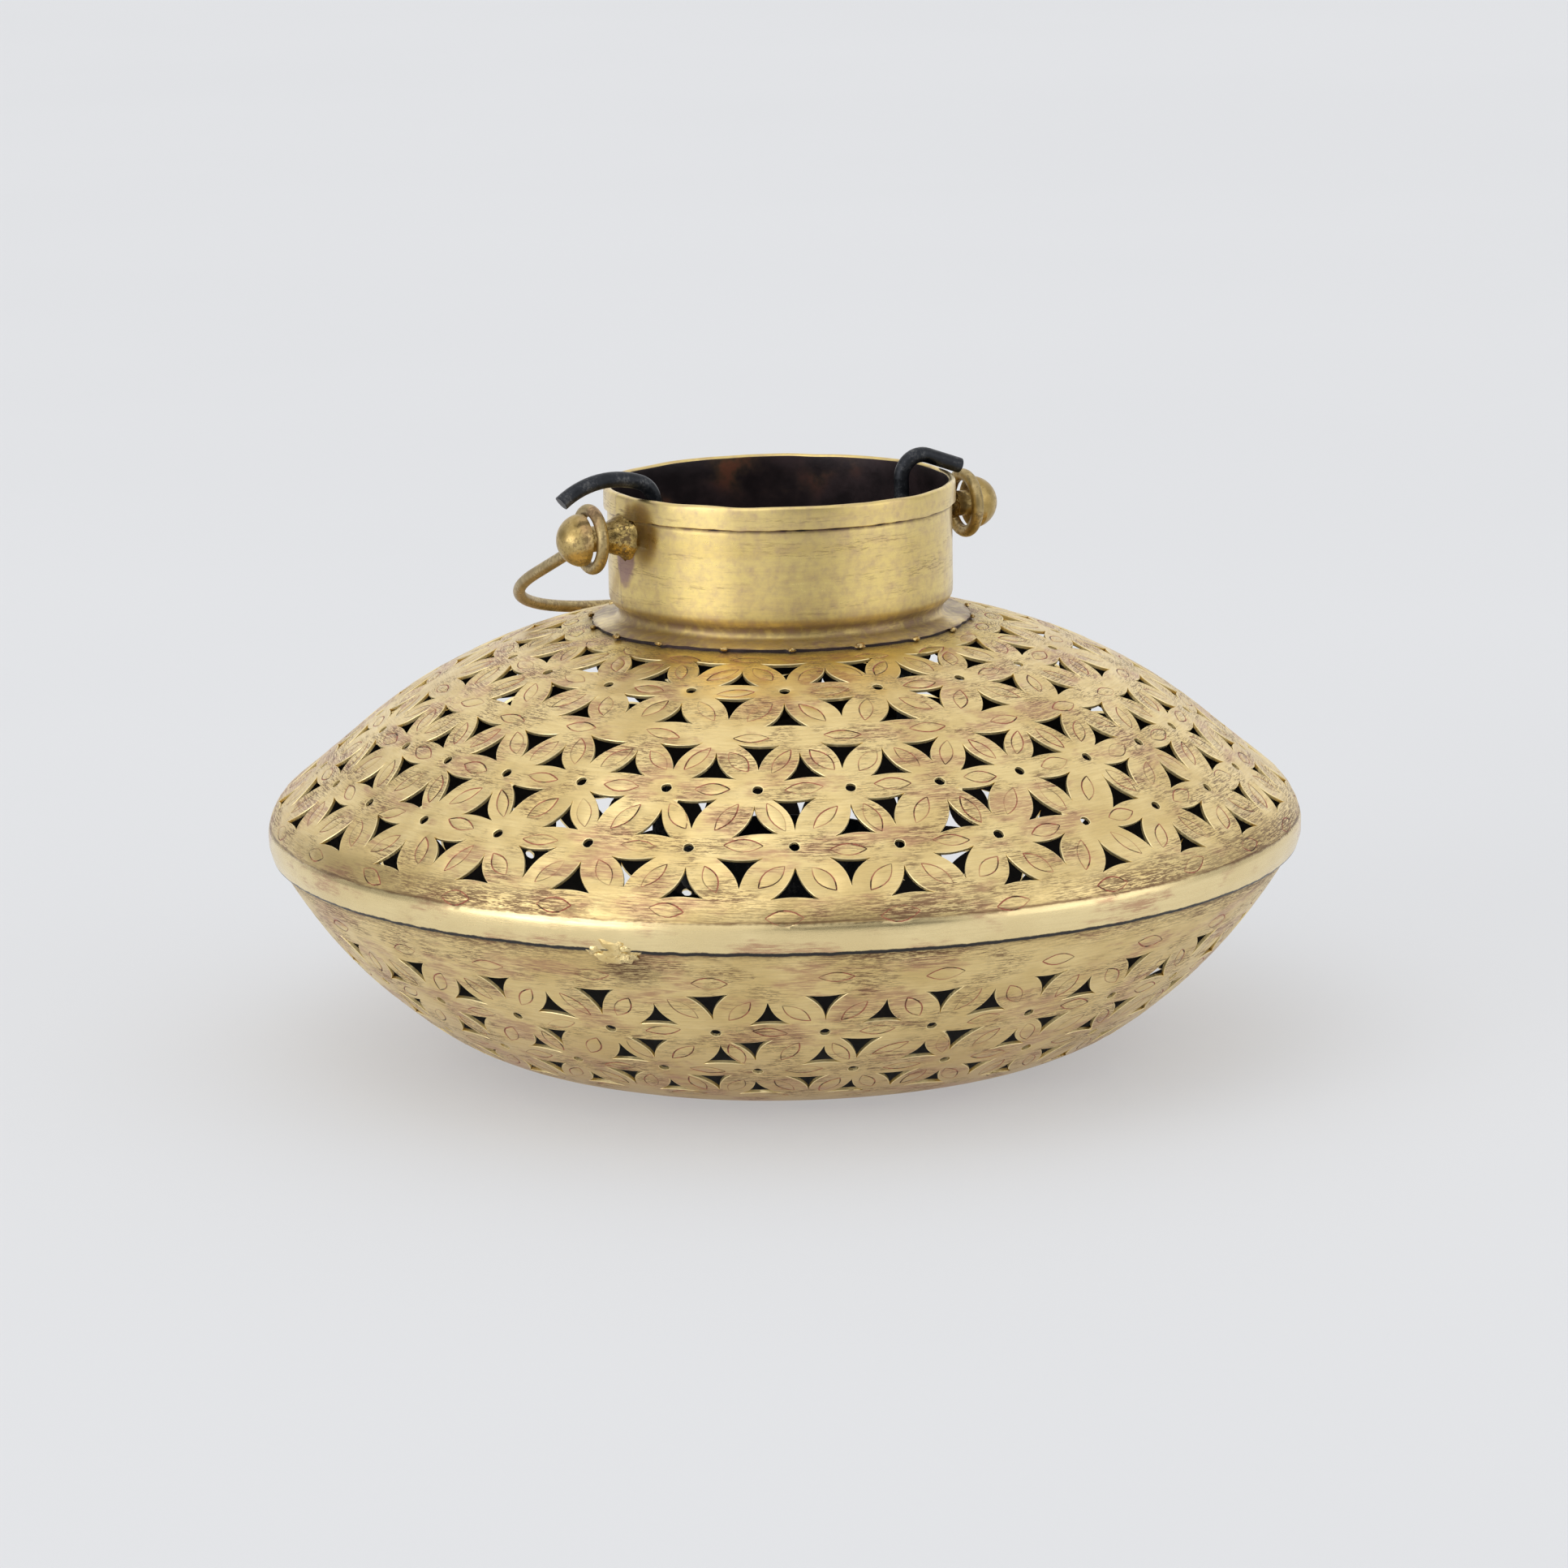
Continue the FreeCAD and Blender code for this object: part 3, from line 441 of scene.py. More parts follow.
    def fill(self, spacing, clear):
        """Points of the plain sheet between the features."""
        near = self.tree_of(self.points)
        middles = self.tree_of(self.centres)
        rows = max(2, round(self.line.length / (spacing * 0.87)))
        extra = []
        for row in range(1, rows):
            distance = self.line.length * row / rows
            count = max(8, round(TURN * self.line.radius(distance) / spacing))
            for k in range(count):
                turn = TURN * (k + 0.5 * (row % 2) + dice.uniform(-0.1, 0.1)) / count - math.pi
                down = distance + dice.uniform(-0.1, 0.1) * spacing
                place = self.place(turn, down, 0)
                if near.find(place)[2] < clear:
                    continue
                hit = middles.find(place)
                if hit[2] < min(HOLE_CLEAR, self.centres[hit[1]][2]):
                    continue
                extra.append((turn, down))
        return extra

    def crease(self, distance, steps):
        """Rows of closer points round the sheet, each at an offset along it and a lift."""
        for offset, lift in steps:
            count = round(TURN * self.line.radius(distance + offset) / CREASE_SPACING)
            for k in range(count):
                self.add(TURN * (k + 0.3 * (offset > 0)) / count - math.pi, distance + offset, lift)

    def borders(self):
        """Evenly spaced points along both edges of the sheet."""
        ends = []
        for distance in (0.0, self.line.length):
            count = max(24, round(TURN * self.line.radius(distance) / BORDER_SPACING))
            ends.append([self.add(TURN * (k + 0.013) / count - math.pi, distance) for k in range(count)])
        return ends

    def triangulate(self, ids, edges):
        """Triangles of the unrolled sheet, joined across the seam at the back."""
        flat, source = [], []
        copies = {}
        for i in ids:
            bearing, distance = self.points[i][:2]
            bearing = wrapped(bearing)
            height = self.line.unroll(distance)
            for shift in (-TURN, 0.0, TURN):
                turn = bearing + shift
                if abs(turn) < math.pi + SEAM_MARGIN:
                    copies[(i, shift)] = len(flat)
                    flat.append(Vector((turn, height)))
                    source.append(i)
        links = []
        for a, b in edges:
            turn_a = wrapped(self.points[a][0])
            turn_b = wrapped(self.points[b][0])
            jump = round((turn_a - turn_b) / TURN) * TURN
            for shift in (-TURN, 0.0, TURN):
                one = copies.get((a, shift))
                other = copies.get((b, shift + jump))
                if one is not None and other is not None:
                    links.append((one, other))
        places, _, faces, origin, _, _ = delaunay_2d_cdt(flat, links, [], 0, 1e-7)
        names = []
        seen = {}
        for place, come_from in zip(places, origin):
            if come_from:
                names.append(source[come_from[0]])
                continue
            turn = wrapped(place.x)
            key = (round(turn, 5), round(place.y, 5))
            if key not in seen:
                seen[key] = self.add(turn, self.line.roll_up(place.y))
            names.append(seen[key])
        in_hole = self.hole_finder()
        kept = []
        for face in faces:
            x = sum(places[i].x for i in face) / 3
            y = sum(places[i].y for i in face) / 3
            if not -math.pi <= x < math.pi or in_hole(x, y):
                continue
            a, b, c = (names[i] for i in face)
            if len({a, b, c}) == 3:
                kept.append((a, b, c))
        return kept

    def hole_finder(self):
        """A test for a place of the unrolled sheet: is it inside a hole?"""
        tree = kdtree.KDTree(3 * len(self.centres))
        outlines = []
        for number, (bearing, distance, size) in enumerate(self.centres):
            bearing = wrapped(bearing)
            height = self.line.unroll(distance)
            for shift in (-TURN, 0.0, TURN):
                tree.insert((bearing + shift, height, 0.0), number)
            outline = []
            for i in self.holes[number]:
                turn = wrapped(self.points[i][0] - bearing)
                outline.append((turn, self.line.unroll(self.points[i][1]) - height))
            outlines.append((size / self.line.radius(distance), outline))
        tree.balance()

        def in_hole(x, y):
            centre, number, gap = tree.find((x, y, 0.0))
            reach, outline = outlines[number]
            if gap > reach * 1.2:
                return False
            x, y = x - centre[0], y - centre[1]
            inside = False
            for i, (ax, ay) in enumerate(outline):
                bx, by = outline[i - 1]
                if (ay > y) != (by > y) and x < (bx - ax) * (y - ay) / (by - ay) + ax:
                    inside = not inside
            return inside

        return in_hole

    def build(self, name, hub=False):
        top, bottom = self.borders()
        feature_ids = list(range(len(self.points)))
        outer_edges = list(self.edges)
        rims = sorted(i for hole in self.holes for i in hole) + top + bottom
        outer_extra = [self.add(*place) for place in self.fill(OUTER_SPACING, OUTER_CLEAR)]
        inner_extra = [self.add(*place) for place in self.fill(INNER_SPACING, INNER_CLEAR)]
        outer = self.triangulate(feature_ids + outer_extra, outer_edges)
        rim_set = set(rims)
        inner_edges = [edge for edge in outer_edges if edge[0] in rim_set and edge[1] in rim_set]
        inner = self.triangulate(rims + inner_extra, inner_edges)
        mesh_points, data, index = [], [], {}

        def vertex(i, inside):
            key = (i, inside)
            if key not in index:
                bearing, distance, lift, stamp, edge_highlight = self.points[i]
                index[key] = len(mesh_points)
                mesh_points.append(self.place(bearing, distance, -GAUGE if inside else lift))
                data.append((distance, 0.0 if inside else stamp, edge_highlight))
            return index[key]

        faces = [tuple(vertex(i, False) for i in reversed(face)) for face in outer]
        sides = [0] * len(faces)
        faces += [tuple(vertex(i, True) for i in face) for face in inner]
        sides += [1] * (len(faces) - len(sides))
        loops = [(hole, False) for hole in self.holes] + [(top, True), (bottom, False)]
        if hub:
            loops.pop()
        for loop, swap in loops:
            for a, b in pairs(loop):
                wall = (vertex(a, False), vertex(b, False), vertex(b, True), vertex(a, True))
                faces.append(tuple(reversed(wall)) if swap else wall)
                sides.append(2)
        if hub:
            for inside in (False, True):
                middle = len(mesh_points)
                mesh_points.append(Vector((0, 0, GAUGE if inside else 0.0)))
                data.append((self.line.length, 0.0, 0.0))
                for a, b in pairs(bottom):
                    rim = (vertex(a, inside), vertex(b, inside), middle)
                    faces.append(rim if inside else tuple(reversed(rim)))
                    sides.append(1 if inside else 0)
        return make_mesh(name, mesh_points, faces, sides, {
            "along": [row[0] for row in data],
            "stamp": [row[1] for row in data],
            "edge_highlight": [row[2] for row in data],
        })


def make_mesh(name, points, faces, sides=None, values=None, sharp_deg=38):
    """A smooth object from points in millimetres; sides are material numbers, values are point data."""
    mesh = bpy.data.meshes.new(name)
    mesh.from_pydata([tuple(point * MM) for point in points], [], faces)
    mesh.validate()
    bm = bmesh.new()
    bm.from_mesh(mesh)
    bmesh.ops.recalc_face_normals(bm, faces=bm.faces)
    bm.to_mesh(mesh)
    bm.free()
    for key, numbers in (values or {}).items():
        layer = mesh.attributes.new(key, "FLOAT", "POINT")
        layer.data.foreach_set("value", numbers)
    if sides:
        mesh.polygons.foreach_set("material_index", sides)
    mesh.polygons.foreach_set("use_smooth", [True] * len(mesh.polygons))
    mesh.set_sharp_from_angle(angle=math.radians(sharp_deg))
    mesh.update()
    return linked(name, mesh)


def linked(name, data):
    """A new object in the scene."""
    thing = bpy.data.objects.new(name, data)
    bpy.context.scene.collection.objects.link(thing)
    return thing


# Materials

class Weave:
    """A short way to write the node tree of a material or of the world."""

    def __init__(self, name, library="materials"):
        self.block = getattr(bpy.data, library).new(name)
        self.block.use_nodes = True
        self.tree = self.block.node_tree
        self.tree.nodes.clear()
        self.color = None

    def node(self, kind):
        return self.tree.nodes.new("ShaderNode" + kind)

    def feed(self, socket, value):
        if isinstance(value, bpy.types.NodeSocket):
            self.tree.links.new(value, socket)
        else:
            socket.default_value = (*value, 1.0) if isinstance(value, tuple) else value

    def value(self, name):
        node = self.node("Attribute")
        node.attribute_name = name
        return node.outputs["Fac"]

    def place(self):
        return self.node("TexCoord").outputs["Object"]

    def sums(self, operation, first, second=0.0, third=None):
        node = self.node("Math")
        node.operation = operation
        node.use_clamp = operation == "SUBTRACT"
        self.feed(node.inputs[0], first)
        self.feed(node.inputs[1], second)
        if third is not None:
            self.feed(node.inputs[2], third)
        return node.outputs[0]

    def times(self, first, second):
        return self.sums("MULTIPLY", first, second)

    def times_plus(self, first, second, third):
        return self.sums("MULTIPLY_ADD", first, second, third)

    def weighted(self, first, share, second, other_share):
        return self.times_plus(first, share, self.times(second, other_share))

    def near(self, level, height, core, edge):
        """1 within a core's distance of a height, 0 beyond an edge's distance."""
        return self.fade(self.sums("ABSOLUTE", self.sums("ADD", level, -height)), core, edge, 1.0, 0.0)

    def height(self):
        split = self.node("SeparateXYZ")
        self.feed(split.inputs[0], self.place())
        return split.outputs[2]

    def around(self, along, around_scale, along_scale):
        """Coordinates that run round the Z axis, so that noise on them looks spun or brushed."""
        split = self.node("SeparateXYZ")
        self.feed(split.inputs[0], self.place())
        flat = self.node("CombineXYZ")
        self.feed(flat.inputs[0], split.outputs[0])
        self.feed(flat.inputs[1], split.outputs[1])
        unit = self.node("VectorMath")
        unit.operation = "NORMALIZE"
        self.feed(unit.inputs[0], flat.outputs[0])
        parts = self.node("SeparateXYZ")
        self.feed(parts.inputs[0], unit.outputs[0])
        joined = self.node("CombineXYZ")
        self.feed(joined.inputs[0], self.times(parts.outputs[0], around_scale))
        self.feed(joined.inputs[1], self.times(parts.outputs[1], around_scale))
        third = split.outputs[2] if along is None else along
        self.feed(joined.inputs[2], self.times(third, along_scale))
        return joined.outputs[0]

    def spun(self, along, around_scale, along_scale, detail, rough):
        """Noise drawn out round the Z axis."""
        return self.noise(self.around(along, around_scale, along_scale), 1.0, detail, rough)

    def speckle(self, scale, detail=3.0, rough=0.55):
        """Noise with no direction."""
        return self.noise(self.place(), scale, detail, rough)

    def noise(self, vector, scale, detail, rough):
        node = self.node("TexNoise")
        self.feed(node.inputs["Vector"], vector)
        node.inputs["Scale"].default_value = scale
        node.inputs["Detail"].default_value = detail
        node.inputs["Roughness"].default_value = rough
        return node.outputs["Fac"]

    def fade(self, value, low, high, bottom=0.0, top=1.0):
        node = self.node("MapRange")
        node.interpolation_type = "SMOOTHSTEP"
        self.feed(node.inputs["Value"], value)
        for name, number in (("From Min", low), ("From Max", high), ("To Min", bottom), ("To Max", top)):
            node.inputs[name].default_value = number
        return node.outputs["Result"]

    def blend(self, share, first, second):
        node = self.node("Mix")
        node.data_type = "RGBA"
        self.feed(node.inputs["Factor"], share)
        for name, value in (("A", first), ("B", second)):
            sockets = [socket for socket in node.inputs if socket.name == name and socket.type == "RGBA"]
            self.feed(sockets[0], value)
        return [socket for socket in node.outputs if socket.type == "RGBA"][0]

    def coat(self, share, color, amount=None):
        """Lay a colour over the one so far, as far as the share goes."""
        if amount is not None:
            share = self.times(share, amount)
        self.color = self.blend(share, self.color, color)

    def brush(self, tone, share):
        """Darken the low places of the brushing."""
        low = self.blend(share, self.color, OLIVE)
        self.color = self.blend(self.fade(tone, 0.36, 0.60), low, self.color)

    def bump(self, height, strength, distance, normal=None):
        node = self.node("Bump")
        node.inputs["Strength"].default_value = strength
        node.inputs["Distance"].default_value = distance
        self.feed(node.inputs["Height"], height)
        if normal is not None:
            self.feed(node.inputs["Normal"], normal)
        return node.outputs["Normal"]

    def finish(self, roughness, metallic, normal=None, specular=0.5, brushed=0.0, glow=0.0):
        shader = self.node("BsdfPrincipled")
        self.feed(shader.inputs["Base Color"], self.color)
        self.feed(shader.inputs["Roughness"], roughness)
        self.feed(shader.inputs["Metallic"], metallic)
        shader.inputs["Specular IOR Level"].default_value = specular
        if normal is not None:
            self.feed(shader.inputs["Normal"], normal)
        if glow:
            shader.inputs["Emission Color"].default_value = (0.985, 0.995, 1.03, 1.0)
            shader.inputs["Emission Strength"].default_value = glow
        if brushed:
            tangent = self.node("Tangent")
            tangent.direction_type = "RADIAL"
            tangent.axis = "Z"
            self.feed(shader.inputs["Tangent"], tangent.outputs[0])
            shader.inputs["Anisotropic"].default_value = brushed
            shader.inputs["Anisotropic Rotation"].default_value = 0.25
        self.feed(self.node("OutputMaterial").inputs[0], shader.outputs[0])
        return self.block


GOLD = (0.93, 0.735, 0.36)
PALE_GOLD = (0.96, 0.81, 0.48)
OLIVE = (0.76, 0.57, 0.25)
UMBER = (0.075, 0.036, 0.02)
BROWN = (0.18, 0.090, 0.048)
COPPER = (0.52, 0.27, 0.17)
BLOOD = (0.42, 0.14, 0.09)


def spun_brass(bead_height):
    """The shells: scratches round the axis, brown flecks, copper blushes, dirt in the stamps, and painted
    sheen, highlights and shade.
    """
    weave = Weave("spun_brass")
    along = weave.value("along")
    stamp = weave.value("stamp")
    edge_highlight = weave.value("edge_highlight")
    grime_and_shade = weave.value("grime_and_shade")
    fine = weave.spun(along, 70.0, 4.6, 3.0, 0.65)
    streak = weave.spun(along, 24.0, 2.8, 4.0, 0.7)
    ripple = weave.spun(None, 30.0, 60.0, 3.0, 0.6)
    height = weave.height()
    level = weave.times_plus(height, 1 / MM, weave.times_plus(ripple, 0.8, -0.4))
    # The bead below the crease: a painted sheen in paler gold, plus lower roughness and fewer flecks.
    painted_sheen = weave.times(weave.fade(level, SKIRT_EDGE - 0.5, SKIRT_EDGE),
                       weave.fade(level, bead_height - 0.25, bead_height + 0.25, 1.0, 0.0))
    crease = weave.near(level, bead_height + 0.2, 0.1, 0.7)
    # Painted shade: a near-black line just under the skirt's edge, where the shells meet.
    gap = weave.near(level, SKIRT_EDGE - 0.2, 0.45, 0.75)
    long = weave.spun(along, 9.0, 1.3, 3.0, 0.6)
    mottle = weave.value("mottle")
    cloud = weave.spun(along, 5.0, 0.055, 3.0, 0.6)
    blush = weave.noise(weave.around(along, 4.0, 0.09), 1.3, 4.0, 0.6)
    tone = weave.weighted(fine, 0.5, long, 0.5)
    weave.color = weave.blend(weave.fade(cloud, 0.34, 0.60), OLIVE, GOLD)
    weave.brush(tone, 0.6)
    # Painted shadow of the floor: browner and darker towards the bottom.
    weave.coat(weave.fade(level, 2.0, 30.0, 0.75, 0.0), (0.60, 0.42, 0.20))
    yellow = weave.fade(weave.value("neck"), 0.0, 1.0, 0.0, 0.8)
    weave.coat(yellow, (0.70, 0.52, 0.13))
    weave.coat(weave.fade(painted_sheen, 0.0, 1.0, 0.0, 0.45), PALE_GOLD)
    pink = weave.times(weave.fade(blush, 0.50, 0.62), weave.fade(streak, 0.36, 0.56))
    weave.coat(pink, COPPER, 0.70)
    patch = weave.fade(weave.spun(along, 7.0, 0.12, 3.0, 0.6), 0.44, 0.62)
    patch = weave.sums("MAXIMUM", weave.times_plus(patch, 0.75, 0.10), mottle)
    grain = weave.weighted(fine, 0.45, streak, 0.55)
    grain = weave.times_plus(mottle, 0.03, grain)
    fleck = weave.fade(grain, 0.48, 0.55)
    fleck = weave.times(fleck, patch)
    calm = weave.fade(painted_sheen, 0.2, 0.9, 1.0, 0.10)
    fleck = weave.times(fleck, calm)
    weave.coat(fleck, BROWN, 0.92)
    crease = weave.times(crease, weave.fade(long, 0.30, 0.62, 0.0, 0.8))
    weave.coat(crease, BROWN)
    # Umber: dirt round the solder tacks, and painted shade round the flange, under the skirt and towards
    # the bottom.
    stain = weave.times(grime_and_shade, weave.fade(grain, 0.30, 0.56, 0.55, 1.0))
    weave.coat(stain, UMBER)
    # Painted shade in the seam under the skirt.
    weave.coat(gap, (0.014, 0.010, 0.008))
    ink = weave.speckle(330.0, 3.0, 0.6)
    pigment = weave.blend(weave.fade(ink, 0.46, 0.62), BLOOD, UMBER)
    line = weave.times(weave.fade(stamp, 0.03, 0.5), weave.fade(ink, 0.25, 0.46, 0.5, 1.0))
    weave.coat(line, pigment)
    # Painted highlight: paler gold along the hole edges, strongest at the edge itself.
    weave.coat(weave.fade(edge_highlight, 0.2, 0.95), (0.97, 0.80, 0.43))
    dull = weave.sums("MAXIMUM", weave.sums("MAXIMUM", fleck, line), stain)
    metal = weave.fade(dull, 0.0, 1.0, 1.0, 0.75)
    metal = weave.times(metal, weave.fade(gap, 0.0, 1.0, 1.0, 0.1))
    rough = weave.fade(tone, 0.35, 0.65, 0.42, 0.32)
    rough = weave.times_plus(dull, 0.22, rough)
    rough = weave.times_plus(painted_sheen, -0.13, rough)
    normal = weave.bump(tone, 0.16, 0.0002)
    normal = weave.bump(cloud, 0.12, 0.0012, normal)
    return weave.finish(rough, metal, normal, brushed=0.45)


def soot(name):
    """The blackened inside of the lantern."""
    weave = Weave(name)
    cloud = weave.speckle(60.0, 4.0, 0.6)
    weave.color = weave.blend(weave.fade(cloud, 0.35, 0.7), (0.010, 0.008, 0.008), (0.030, 0.022, 0.019))
    normal = weave.bump(weave.speckle(700.0, 2.0), 0.15, 0.0002)
    return weave.finish(weave.fade(cloud, 0.3, 0.7, 0.45, 0.62), 0.35, normal)


def brushed_collar():
    """The neck: level brushing, sparse flecks, heat stains by the studs, dirt, painted shade in the folds
    and a painted sheen towards the top.
    """
    weave = Weave("brushed_collar")
    grime_and_shade = weave.value("grime_and_shade")
    burn = weave.value("burn")
    painted_sheen = weave.value("painted_sheen")
    fine = weave.spun(None, 20.0, 3400.0, 3.0, 0.65)
    streak = weave.spun(None, 6.0, 1900.0, 4.0, 0.7)
    long = weave.spun(None, 2.0, 800.0, 3.0, 0.6)
    cloud = weave.spun(None, 0.7, 130.0, 2.0, 0.5)
    tone = weave.weighted(fine, 0.5, long, 0.5)
    weave.color = weave.blend(weave.fade(cloud, 0.34, 0.62), (0.80, 0.61, 0.215), (0.87, 0.685, 0.265))
    weave.brush(tone, 0.5)
    # Painted sheen: paler gold towards the top and over the hem.
    weave.coat(weave.fade(painted_sheen, 0.0, 1.0, 0.0, 0.1), PALE_GOLD)
    patch = weave.fade(weave.noise(weave.around(None, 0.9, 150.0), 1.4, 3.0, 0.6), 0.48, 0.64)
    grain = weave.weighted(fine, 0.45, streak, 0.55)
    fleck = weave.fade(grain, 0.50, 0.58)
    fleck = weave.times(fleck, weave.times_plus(patch, 0.60, 0.04))
    weave.coat(fleck, BROWN, 0.75)
    ragged = weave.speckle(420.0, 3.0, 0.6)
    # Dark brown as far as the painted value goes: dirt, and painted shade under the hem, under the roll and
    # at the flange's edge.
    stain = weave.times(grime_and_shade, weave.fade(ragged, 0.28, 0.6, 0.6, 1.0))
    weave.coat(stain, (0.12, 0.058, 0.026))
    heat = weave.times_plus(ragged, 0.5, weave.sums("SUBTRACT", burn, 0.25))
    heat = weave.fade(heat, 0.15, 0.6)
    weave.coat(heat, (0.34, 0.19, 0.24), 0.75)
    # Painted shade: near black where the value is strongest, under the hem and at the flange's edge; also
    # along the lap.
    gap = weave.fade(grime_and_shade, 0.82, 0.97)
    weave.coat(gap, (0.014, 0.010, 0.008))
    dull = weave.sums("MAXIMUM", weave.sums("MAXIMUM", fleck, stain), weave.times(heat, 0.5))
    rough = weave.fade(tone, 0.35, 0.65, 0.34, 0.26)
    rough = weave.times_plus(dull, 0.25, rough)
    normal = weave.bump(tone, 0.10, 0.00012)
    metal = weave.fade(dull, 0.0, 1.0, 1.0, 0.5)
    metal = weave.times(metal, weave.fade(gap, 0.0, 1.0, 1.0, 0.1))
    return weave.finish(rough, metal, normal, brushed=0.8)


def collar_inside():
    """Nearly black with brown and purple, and a painted sheen of gold and orange patches near the rim."""
    weave = Weave("collar_inside")
    cloud = weave.speckle(70.0, 4.0, 0.6)
    spread = weave.speckle(34.0, 2.0, 0.5)
    high = weave.value("painted_sheen")
    weave.color = weave.blend(weave.fade(cloud, 0.35, 0.7), (0.020, 0.014, 0.016), (0.050, 0.030, 0.032))
    # Painted sheen: gold and orange patches only near the rim.
    gilt = weave.times(weave.fade(spread, 0.56, 0.72), weave.fade(cloud, 0.46, 0.62))
    gilt = weave.times(gilt, weave.fade(high, 0.1, 0.8, 0.0, 0.45))
    tint = weave.blend(weave.fade(cloud, 0.5, 0.62), (0.22, 0.15, 0.04), (0.42, 0.13, 0.045))
    weave.coat(gilt, tint)
    rough = weave.fade(cloud, 0.3, 0.7, 0.34, 0.5)
    normal = weave.bump(weave.speckle(500.0, 3.0), 0.2, 0.0003)
    return weave.finish(rough, 0.6, normal)


def dull_brass(name, light, dark, stain, roughness, lumps):
    """Studs, bail and braze: hand-worked brass, browned in flecks, with red copper traces."""
    weave = Weave(name)
    cloud = weave.speckle(190.0, 4.0, 0.6)
    fine = weave.speckle(1300.0, 3.0, 0.6)
    broad = weave.speckle(75.0, 2.0, 0.5)
    weave.color = weave.blend(weave.fade(cloud, 0.35, 0.62), dark, light)
    red = weave.fade(broad, 0.60, 0.72)
    weave.coat(red, COPPER, 0.4)
    fleck = weave.fade(weave.weighted(fine, 0.5, cloud, 0.5), 0.50, 0.60)
    fleck = weave.times(fleck, stain)
    weave.coat(fleck, UMBER)
    rough = weave.fade(cloud, 0.3, 0.7, roughness + 0.06, roughness - 0.06)
    rough = weave.times_plus(fleck, 0.3, rough)
    normal = weave.bump(fine, lumps, 0.0003)
    normal = weave.bump(cloud, lumps * 1.6, 0.0008, normal)
    return weave.finish(rough, weave.fade(fleck, 0.0, 1.0, 1.0, 0.55), normal)


def black_iron():
    """Blue-black drawn wire with a low shine and rubbed grey marks."""
    weave = Weave("black_iron")
    cloud = weave.speckle(220.0, 4.0, 0.65)
    fine = weave.speckle(1500.0, 3.0, 0.6)
    rubbed = weave.fade(weave.weighted(fine, 0.4, cloud, 0.6), 0.52, 0.66)
    weave.color = weave.blend(weave.fade(cloud, 0.3, 0.7), (0.010, 0.012, 0.016), (0.026, 0.029, 0.036))
    weave.coat(rubbed, (0.12, 0.12, 0.12), 0.7)
    rough = weave.fade(cloud, 0.3, 0.7, 0.30, 0.46)
    normal = weave.bump(fine, 0.22, 0.0003)
    normal = weave.bump(cloud, 0.3, 0.0006, normal)
    return weave.finish(rough, 0.55, normal)


# Pieces

def give(piece, body, slot, nodes, *materials):
    for material in materials:
        piece.data.materials.append(material)
    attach(piece, body)
    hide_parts(*nodes)
    return piece


def paint(piece, name, formula):
    """Write one number for each point, from its place in millimetres."""
    mesh = piece.data
    layer = mesh.attributes.new(name, "FLOAT", "POINT")
    layer.data.foreach_set("value", [formula(vertex.co / MM) for vertex in mesh.vertices])


def bump_up(value, middle, width):
    """1 at the middle, falling to 0 a width away."""
    share = max(0.0, 1 - abs(value - middle) / width)
    return share * share * (3 - 2 * share)


def bearing_of(place):
    return math.degrees(math.atan2(place.x, -place.y))


def turn_from(first, second):
    """Degrees from the second bearing to the first, within half a turn."""
    return (first - second + 180) % 360 - 180


def tack_stain(place):
    """Dirt round the solder tacks on the seam."""
    dark = 0.0
    for bearing in TACK_BEARINGS:
        across = abs(turn_from(bearing_of(place), bearing + 1.5)) * math.radians(LIP_RADIUS)
        down = abs(place.z - (SKIRT_EDGE - 4.5)) * 1.5
        dark = max(dark, 1 - math.hypot(across, down) / 11.0)
    return max(0.0, dark) * 0.9


def upper_shell(brass, inside, bead_height):
    sheet = Sheet(dome_runs())
    sheet.band(NECK_BAND, NECK_OVALS)
    sheet.band(DOME_BAND, [(offset + ROW_SPACING, *rest) for offset, *rest in DOME_OVALS])
    sheet.crease(sheet.line.length - BEAD_LENGTH, BEAD_CREASE)
    sheet.crease(sheet.line.length, SKIRT_ROWS)
    piece = sheet.build("upper_shell_pierced")
    # Painted shade: a dark ring on the dome round the flange's edge.
    paint(piece, "grime_and_shade", lambda p: 0.7 * bump_up(math.hypot(p.x, p.y), FLANGE_RADIUS - 0.4, 1.8))
    paint(piece, "mottle", lambda p: max(
        bump_up(p.z, bead_height + 2.2, 6.0) * min(1.0, max(0.0, 0.75 + 1.3 * noise.noise(p * 0.028))),
        0.5 * bump_up(math.hypot(p.x, p.y), FLANGE_RADIUS, 9.0)))
    paint(piece, "neck", lambda p: bump_up(math.hypot(p.x, p.y), FLANGE_RADIUS, 20.0))
    return give(piece, "lantern", "brass_sheet", ["upper_shell"], brass, inside, brass)


def lower_shell(brass, inside):
    sheet = Sheet(bowl_runs())
    lip = LIP_TOP - SKIRT_EDGE + 1.0
    sheet.band(BOWL_BAND, BOWL_OVALS, lip)
    start = sheet.line.distance_to(BOWL_BAND[0], lip)
    sheet.row_ovals(start + ROW_SPACING, BASE_OVALS)
    sheet.crease(LIP_TOP - SKIRT_EDGE, SEAM_ROWS)
    piece = sheet.build("lower_shell_pierced", hub=True)
    # Painted shade under the skirt's edge and towards the bottom of the bowl; dirt round the solder tacks.
    paint(piece, "grime_and_shade", lambda p: max(
        0.6 * bump_up(p.z, SKIRT_EDGE - 0.4, 1.4),
        0.20 * max(0.0, 1 - p.z / 9.0),
        0.55 * tack_stain(p)))
    paint(piece, "mottle", lambda p: max(
        bump_up(p.z, SKIRT_EDGE - 1.5, 5.5) * min(1.0, max(0.0, 0.7 + 1.4 * noise.noise(p * 0.03))),
        min(1.0, tack_stain(p) * 2.0)))
    return give(piece, "lantern", "brass_sheet", ["lower_shell"], brass, inside, brass)


